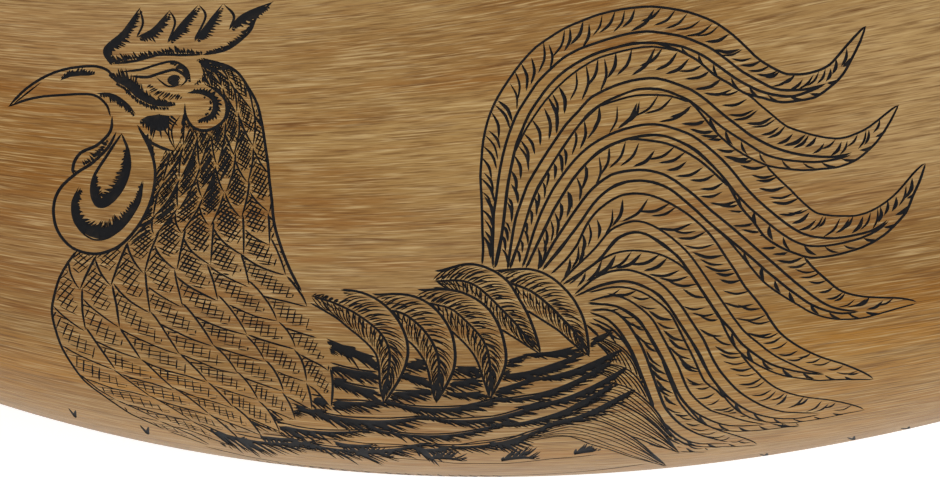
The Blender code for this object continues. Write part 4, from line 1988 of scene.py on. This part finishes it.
@dataclass
class Tacks:
    """The domed brass tacks that hold the plug."""

    form: HornForm
    count: int = 6
    at: float = 0.0080
    first_turn: float = math.radians(30.0)
    head_radius: float = 0.0023
    head_height: float = 0.0011
    shank_radius: float = 0.0008
    length: float = 0.0090
    point: float = 0.0025
    clearance: float = 0.0003

    def profile(self) -> Profile:
        """(radius, height) points from the point up to the top of the head.

        Returns:
            The points.
        """
        under = self.clearance
        profile = [(0.0, -self.length), (self.shank_radius, -self.length + self.point)]
        profile += [(self.shank_radius, under), (self.head_radius - 0.00015, under)]
        for angle in np.linspace(0.06, 1.5, 9):
            radius = self.head_radius * math.cos(angle)
            profile.append((radius, under + self.head_height * math.sin(angle)))
        return profile + [(0.0, under + self.head_height)]

    def build(self) -> list[Piece]:
        """Makes every tack, square to the horn's skin.

        Returns:
            The tacks in the order of their turns.
        """
        base = self.form.frame_at(self.at)
        radius = float(self.form.cone_radius(self.at))
        made = []
        for i in range(self.count):
            turn = self.first_turn + 2 * math.pi * i / self.count
            around = Matrix.Rotation(-turn, 4, "Z") @ Matrix.Rotation(-math.pi / 2, 4, "X")
            lean = Matrix.Rotation(-math.atan(self.form.taper), 4, "X")
            place = base @ around @ Matrix.Translation((0.0, 0.0, radius)) @ lean
            made.append(Turning(f"brass_tack_{i + 1}", 32).build(self.profile(), place))
        return made


@dataclass(frozen=True)
class Tone:
    """A colour in linear light."""

    red: float
    green: float
    blue: float

    def rgba(self) -> tuple[float, float, float, float]:
        """The colour as Blender wants it."""
        return (self.red, self.green, self.blue, 1.0)


RUST = Tone(0.235, 0.086, 0.008)
AMBER = Tone(0.430, 0.200, 0.022)
# Cream: the colour of the pale streaks in the grain, and of the painted highlights among the patches.
CREAM = Tone(0.500, 0.340, 0.150)


@dataclass(frozen=True)
class StainAndSheen:
    """A soft patch of colour on the horn, a real stain in rust or amber, or a painted highlight in
    cream: its middle, its size in millimetres, how strong it is, its tone.
    """

    station: float
    turn: float
    long: float
    wide: float
    share: float
    tone: Tone = RUST

    def middle(self) -> Place:
        """Its middle in the horn's straightened coordinates, in millimetres."""
        turn = math.radians(self.turn)
        return self.station, Field.middling * math.cos(turn), Field.middling * math.sin(turn)


class Recipe:
    """Builds one node material step by step."""

    def __init__(self, name: str) -> None:
        """Starts a material with a shader.

        Args:
            name: Name of the material.
        """
        self.material = bpy.data.materials.new(name)
        self.material.use_nodes = True
        self.tree = self.material.node_tree
        self.shader = self.tree.nodes["Principled BSDF"]

    def give(self, socket: Socket, value: object) -> None:
        """Gives a socket a link, a colour or a plain value.

        Args:
            socket: The socket.
            value: Another node's output, a tone, or what the socket holds.
        """
        if isinstance(value, Socket):
            self.tree.links.new(value, socket)
        else:
            socket.default_value = value.rgba() if isinstance(value, Tone) else value

    def node(self, kind: str, inputs: dict[str | int, object], **settings: object) -> bpy.types.Node:
        """Adds a node.

        Args:
            kind: Its type.
            inputs: What its inputs are given.
            settings: What is set on the node itself.

        Returns:
            The node.
        """
        made = self.tree.nodes.new(kind)
        for key, value in settings.items():
            setattr(made, key, value)
        for key, value in inputs.items():
            self.give(made.inputs[key], value)
        return made

    def surface(self, **inputs: object) -> None:
        """Gives the shader's own sockets, with _ for each space in their names."""
        for key, value in inputs.items():
            self.give(self.shader.inputs[key.replace("_", " ")], value)

    def mapped(self, inputs: dict[str | int, object], kind: str = "POINT") -> Socket:
        """The piece's own coordinates in millimetres, moved and scaled.

        Args:
            inputs: What the mapping's inputs are given.
            kind: Its type.

        Returns:
            The coordinates.
        """
        source = self.node("ShaderNodeAttribute", {}, attribute_name="grain").outputs["Vector"]
        made = self.node("ShaderNodeMapping", {"Vector": source, **inputs}, vector_type=kind)
        return made.outputs["Vector"]

    def grain(self, stretch: Place) -> Socket:
        """The piece's own coordinates in millimetres, scaled on each axis."""
        return self.mapped({"Scale": stretch})

    def spot(self, stain_and_sheen: StainAndSheen) -> Socket:
        """A value that falls from the patch's share at its middle to 0 at its edge, for a stain and for
        a painted highlight alike.

        Args:
            stain_and_sheen: The patch, a real stain or a cream painted highlight.

        Returns:
            The value.
        """
        size = (stain_and_sheen.long, stain_and_sheen.wide, stain_and_sheen.wide)
        where = self.mapped({"Location": stain_and_sheen.middle(), "Scale": size}, "TEXTURE")
        ball = self.node("ShaderNodeTexGradient", {"Vector": where}, gradient_type="SPHERICAL")
        return self.ramp(ball.outputs["Fac"], 0.0, 0.6, 0.0, stain_and_sheen.share)

    def noise(self, where: Socket, scale: float, detail: float = 3.0, rough: float = 0.55) -> Socket:
        """Cloudy noise as a value about one half."""
        inputs = {"Vector": where, "Scale": scale, "Detail": detail, "Roughness": rough}
        return self.node("ShaderNodeTexNoise", inputs).outputs["Fac"]

    def ramp(
        self, value: Socket, low: float, high: float, start: float = 0.0, end: float = 1.0
    ) -> Socket:
        """Maps a value from low and high to start and end, clamped."""
        inputs = {"Value": value, "From Min": low, "From Max": high, "To Min": start, "To Max": end}
        return self.node("ShaderNodeMapRange", inputs).outputs["Result"]

    def blend(self, share: Socket, first: Socket | Tone, second: Socket | Tone) -> Socket:
        """Mixes two colours by how much there is of the second."""
        inputs = {"Factor": share, 6: first, 7: second}
        return self.node("ShaderNodeMix", inputs, data_type="RGBA").outputs[2]

    def math(self, way: str, first: Socket, second: Socket | float) -> Socket:
        """Works on two values."""
        return self.node("ShaderNodeMath", {0: first, 1: second}, operation=way).outputs[0]

    def bump(self, height: Socket, strength: float, distance: float) -> None:
        """Roughens the surface by a height."""
        inputs = {"Strength": strength, "Distance": distance, "Height": height}
        self.surface(Normal=self.node("ShaderNodeBump", inputs).outputs["Normal"])


@dataclass(frozen=True)
class HornFinish:
    """Polished horn: tan, with fine lengthwise streaks and warm clouds, darker towards the spout, and
    cream patches of painted highlight.
    """

    tan: Tone = Tone(0.262, 0.134, 0.034)
    honey: Tone = Tone(0.345, 0.204, 0.066)
    umber: Tone = Tone(0.115, 0.042, 0.006)
    tip: Tone = Tone(0.050, 0.032, 0.020)
    roughness: float = 0.46
    shine: float = 0.20
    stains_and_sheens: tuple[StainAndSheen, ...] = (
        StainAndSheen(117.5, 16.0, 26.0, 13.0, 0.55),
        StainAndSheen(116.0, -28.0, 30.0, 7.0, 0.75),
        StainAndSheen(117.0, -50.0, 22.0, 5.5, 0.85),
        StainAndSheen(92.0, -6.0, 14.0, 6.0, 0.45),
        StainAndSheen(34.0, -34.0, 20.0, 6.5, 0.75),
        StainAndSheen(46.0, -15.0, 16.0, 5.0, 0.40),
        StainAndSheen(61.0, 20.0, 24.0, 6.0, 0.35),
        StainAndSheen(118.0, -6.0, 12.0, 14.0, 0.50),
        StainAndSheen(112.0, -58.0, 36.0, 12.0, 0.70, AMBER),
        StainAndSheen(72.0, -72.0, 44.0, 11.0, 0.50, AMBER),
        StainAndSheen(42.0, -50.0, 26.0, 14.0, 0.55, AMBER),
        # Painted highlights: these two cream patches lighten the top near the mouth and the upper inside
        # farther along, where the key light's sheen falls.
        StainAndSheen(28.0, 6.0, 18.0, 14.0, 0.55, CREAM),
        StainAndSheen(112.0, 38.0, 30.0, 12.0, 0.30, CREAM),
    )

    def material(self) -> Material:
        """The finish as a node material.

        Returns:
            The material.
        """
        recipe = Recipe("polished_horn")
        broad = recipe.noise(recipe.grain((0.022, 0.10, 0.10)), 1.0, 3.0)
        colour = recipe.blend(recipe.ramp(broad, 0.36, 0.66), self.tan, self.honey)
        band = recipe.noise(recipe.grain((0.050, 0.55, 0.55)), 1.0, 4.0, 0.62)
        colour = recipe.blend(recipe.ramp(band, 0.48, 0.72, 0.0, 0.70), colour, RUST)
        # Blends in each patch: rust and amber stains of the horn, and cream painted highlights.
        for stain_and_sheen in self.stains_and_sheens:
            share = recipe.math("MULTIPLY", recipe.spot(stain_and_sheen), recipe.ramp(band, 0.30, 0.62, 0.25, 1.0))
            colour = recipe.blend(share, colour, stain_and_sheen.tone)
        streak = recipe.noise(recipe.grain((0.14, 3.4, 3.4)), 1.0, 4.0, 0.66)
        colour = recipe.blend(recipe.ramp(streak, 0.50, 0.73, 0.0, 0.92), colour, self.umber)
        pale = recipe.noise(recipe.grain((0.22, 6.4, 6.4)), 1.0, 2.0, 0.55)
        colour = recipe.blend(recipe.ramp(pale, 0.50, 0.72, 0.0, 0.85), colour, CREAM)
        fine = recipe.noise(recipe.grain((0.28, 9.0, 9.0)), 1.0, 2.0, 0.6)
        colour = recipe.blend(recipe.ramp(fine, 0.50, 0.74, 0.0, 0.78), colour, self.umber)
        split = recipe.node("ShaderNodeSeparateXYZ", {"Vector": recipe.grain((1.0, 1.0, 1.0))})
        ragged = recipe.math("ADD", split.outputs["X"], recipe.ramp(streak, 0.3, 0.7, -16.0, 16.0))
        colour = recipe.blend(recipe.ramp(ragged, 176.0, 258.0), colour, self.tip)
        rough = recipe.ramp(fine, 0.3, 0.8, self.roughness - 0.06, self.roughness + 0.10)
        recipe.surface(Base_Color=colour, Roughness=rough)
        recipe.surface(Specular_IOR_Level=self.shine)
        recipe.bump(recipe.noise(recipe.grain((0.12, 5.0, 5.0)), 1.0, 3.0), 0.35, 0.00012)
        return recipe.material


@dataclass(frozen=True)
class InkFinish:
    """Black ink, slightly worn, in the bottom of the cuts."""

    black: Tone = Tone(0.006, 0.006, 0.007)
    worn: Tone = Tone(0.022, 0.017, 0.013)
    shine: float = 0.12

    def material(self) -> Material:
        """The finish as a node material.

        Returns:
            The material.
        """
        recipe = Recipe("engraving_ink")
        wear = recipe.noise(recipe.grain((0.5, 0.5, 0.5)), 1.6, 4.0)
        colour = recipe.blend(recipe.ramp(wear, 0.50, 0.75, 0.0, 0.8), self.black, self.worn)
        rough = recipe.ramp(wear, 0.3, 0.7, 0.55, 0.75)
        recipe.surface(Base_Color=colour, Roughness=rough, Specular_IOR_Level=self.shine)
        recipe.bump(recipe.noise(recipe.grain((6.0, 6.0, 6.0)), 1.0, 2.0), 0.3, 0.00005)
        return recipe.material


@dataclass(frozen=True)
class WoodFinish:
    """Oiled turned hardwood with year rings and open pores."""

    name: str
    pale: Tone
    dark: Tone
    grain: Grain
    roughness: float = 0.42

    def material(self) -> Material:
        """The finish as a node material.

        Returns:
            The material.
        """
        recipe = Recipe(self.name)
        if self.grain is Grain.ACROSS:
            long, wide = (0.03, 1.0, 1.0), (0.12, 2.6, 2.6)
            swing = (0.010, 0.05, 0.10)
        else:
            long, wide = (1.0, 1.0, 0.04), (3.6, 3.6, 0.16)
            swing = (0.15, 0.10, 0.012)
        rings = recipe.noise(recipe.grain(swing), 1.0, 2.0, 0.4)
        bands = recipe.math("SINE", recipe.math("MULTIPLY", rings, 60.0), 0.0)
        colour = recipe.blend(recipe.ramp(bands, -0.8, 1.0), self.dark, self.pale)
        streak = recipe.noise(recipe.grain(long), 1.2, 4.0, 0.6)
        colour = recipe.blend(recipe.ramp(streak, 0.45, 0.75, 0.0, 0.7), colour, self.dark)
        pores = recipe.noise(recipe.grain(wide), 1.0, 3.0, 0.6)
        colour = recipe.blend(recipe.ramp(pores, 0.58, 0.72, 0.0, 0.65), colour, self.dark)
        rough = recipe.ramp(pores, 0.3, 0.8, self.roughness - 0.06, self.roughness + 0.15)
        recipe.surface(Base_Color=colour, Roughness=rough)
        recipe.bump(pores, 0.35, 0.00015)
        return recipe.material


@dataclass(frozen=True)
class BrassFinish:
    """Old brass, tarnished in patches."""

    bright: Tone = Tone(0.66, 0.44, 0.16)
    tarnish: Tone = Tone(0.24, 0.15, 0.06)

    def material(self) -> Material:
        """The finish as a node material.

        Returns:
            The material.
        """
        recipe = Recipe("old_brass")
        patches = recipe.noise(recipe.grain((0.9, 0.9, 0.9)), 1.0, 4.0, 0.6)
        colour = recipe.blend(recipe.ramp(patches, 0.42, 0.68), self.bright, self.tarnish)
        rough = recipe.ramp(patches, 0.3, 0.7, 0.24, 0.50)
        recipe.surface(Base_Color=colour, Roughness=rough, Metallic=1.0)
        recipe.bump(recipe.noise(recipe.grain((2.2, 2.2, 2.2)), 1.0, 2.0), 0.4, 0.0001)
        return recipe.material


@dataclass(frozen=True)
class FloorFinish:
    """A plain white ground that glows a little, like a light table."""

    white: Tone = Tone(0.90, 0.90, 0.90)
    soft: Tone = Tone(0.88, 0.88, 0.88)
    glow: float = 0.56
    roughness: float = 0.9

    def material(self) -> Material:
        """The finish as a node material.

        Returns:
            The material.
        """
        recipe = Recipe("studio_floor")
        where = recipe.node("ShaderNodeTexCoord", {}).outputs["Object"]
        colour = recipe.blend(recipe.noise(where, 3.0, 2.0), self.white, self.soft)
        recipe.surface(Base_Color=colour, Roughness=self.roughness)
        recipe.surface(Emission_Color=self.white, Emission_Strength=self.glow)
        return recipe.material


@dataclass
class Studio:
    """The floor, the soft lights and the camera."""

    eye: Eye
    floor_size: float = 6.0
    floor_gap: float = 0.0002
    lens: float = 300.0
    sensor: float = 36.0
    aimed_at: float = 0.03
    air: float = 0.36
    lights: tuple[tuple[str, Place, float, float], ...] = (
        ("key_softbox", (0.10, 0.75, 1.05), 0.9, 8.6),
        ("fill_softbox", (-0.50, -0.80, 0.9), 0.9, 5.2),
        ("side_softbox", (0.95, -0.30, 0.9), 0.8, 5.4),
    )

    def lay_floor(self) -> None:
        """Lays the floor just under the horn."""
        half = self.floor_size / 2
        data = bpy.data.meshes.new("studio_floor")
        low = -self.floor_gap
        corners = [(-half, -half, low), (half, -half, low), (half, half, low), (-half, half, low)]
        data.from_pydata(corners, [], [(0, 1, 2, 3)])
        data.materials.append(FloorFinish().material())
        floor = placed("studio_floor", data)

    def hang_light(self, name: str, place: Place, size: float, power: float) -> None:
        """Hangs a square soft light that faces the horn.

        Args:
            name: Name of the light.
            place: Where it hangs.
            size: Length of its side.
            power: Its power in watts.
        """
        data = bpy.data.lights.new(name, "AREA")
        data.size = size
        data.energy = power
        made = placed(name, data)
        made.location = place
        aim = Vector((*self.eye.centre, self.aimed_at)) - Vector(place)
        made.rotation_euler = aim.to_track_quat("-Z", "Y").to_euler()

    def set_camera(self) -> None:
        """Sets the camera straight above, with the photograph's roll and scale."""
        data = bpy.data.cameras.new("overhead")
        data.sensor_width = self.sensor
        data.lens = self.lens
        made = placed("overhead", data)
        made.location = (*self.eye.centre, self.eye.height)
        made.rotation_euler = (0.0, 0.0, self.eye.roll)
        bpy.context.scene.camera = made

    def build(self) -> None:
        """Sets up the whole studio."""
        self.lay_floor()
        for light in self.lights:
            self.hang_light(*light)
        world = bpy.data.worlds.new("studio_air")
        world.use_nodes = True
        air = world.node_tree.nodes["Background"]
        air.inputs["Color"].default_value = (1.0, 1.0, 1.0, 1.0)
        air.inputs["Strength"].default_value = self.air
        bpy.context.scene.world = world
        bpy.context.scene.view_settings.view_transform = "Standard"
        self.set_camera()


def dress(piece: Piece, material: Material, replaced: str | None) -> None:
    """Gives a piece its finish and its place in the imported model.

    Args:
        piece: The piece.
        material: Its finish.
        replaced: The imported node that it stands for, if any.
    """
    piece.data.materials.append(material)
    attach(piece, "root")
    if replaced:
        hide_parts(replaced)
    LOG.info("%s: %d faces", piece.name, len(piece.data.polygons))


def main() -> None:
    """Builds the horn, its fittings and the studio, in that order."""
    logging.basicConfig(level=logging.INFO, format="%(name)s: %(message)s")
    form = HornForm()
    eye = Eye()
    engraving = Engraving(Press(form, eye))
    cuts = engraving.cuts()
    LOG.info("engraving: %d strokes", len(cuts))
    skin, ink = HornBody(form, Field(form)).build(cuts)
    dress(skin, HornFinish().material(), "horn")
    black = InkFinish().material()
    for part in ink:
        dress(part, black, None)
    walnut = WoodFinish(
        "oiled_walnut", Tone(0.20, 0.105, 0.050), Tone(0.055, 0.024, 0.011), Grain.ACROSS
    )
    dress(Plug(form).build(), walnut.material(), "butt_plug")
    cherry = WoodFinish("oiled_cherry", Tone(0.30, 0.14, 0.055), Tone(0.12, 0.045, 0.018), Grain.ALONG)
    dress(Stopper(form).build(), cherry.material(), "stopper")
    brass = BrassFinish().material()
    for number, tack in enumerate(Tacks(form).build(), start=1):
        dress(tack, brass, f"tack_{number}")
    Studio(eye).build()


if __name__ == "__main__":
    main()
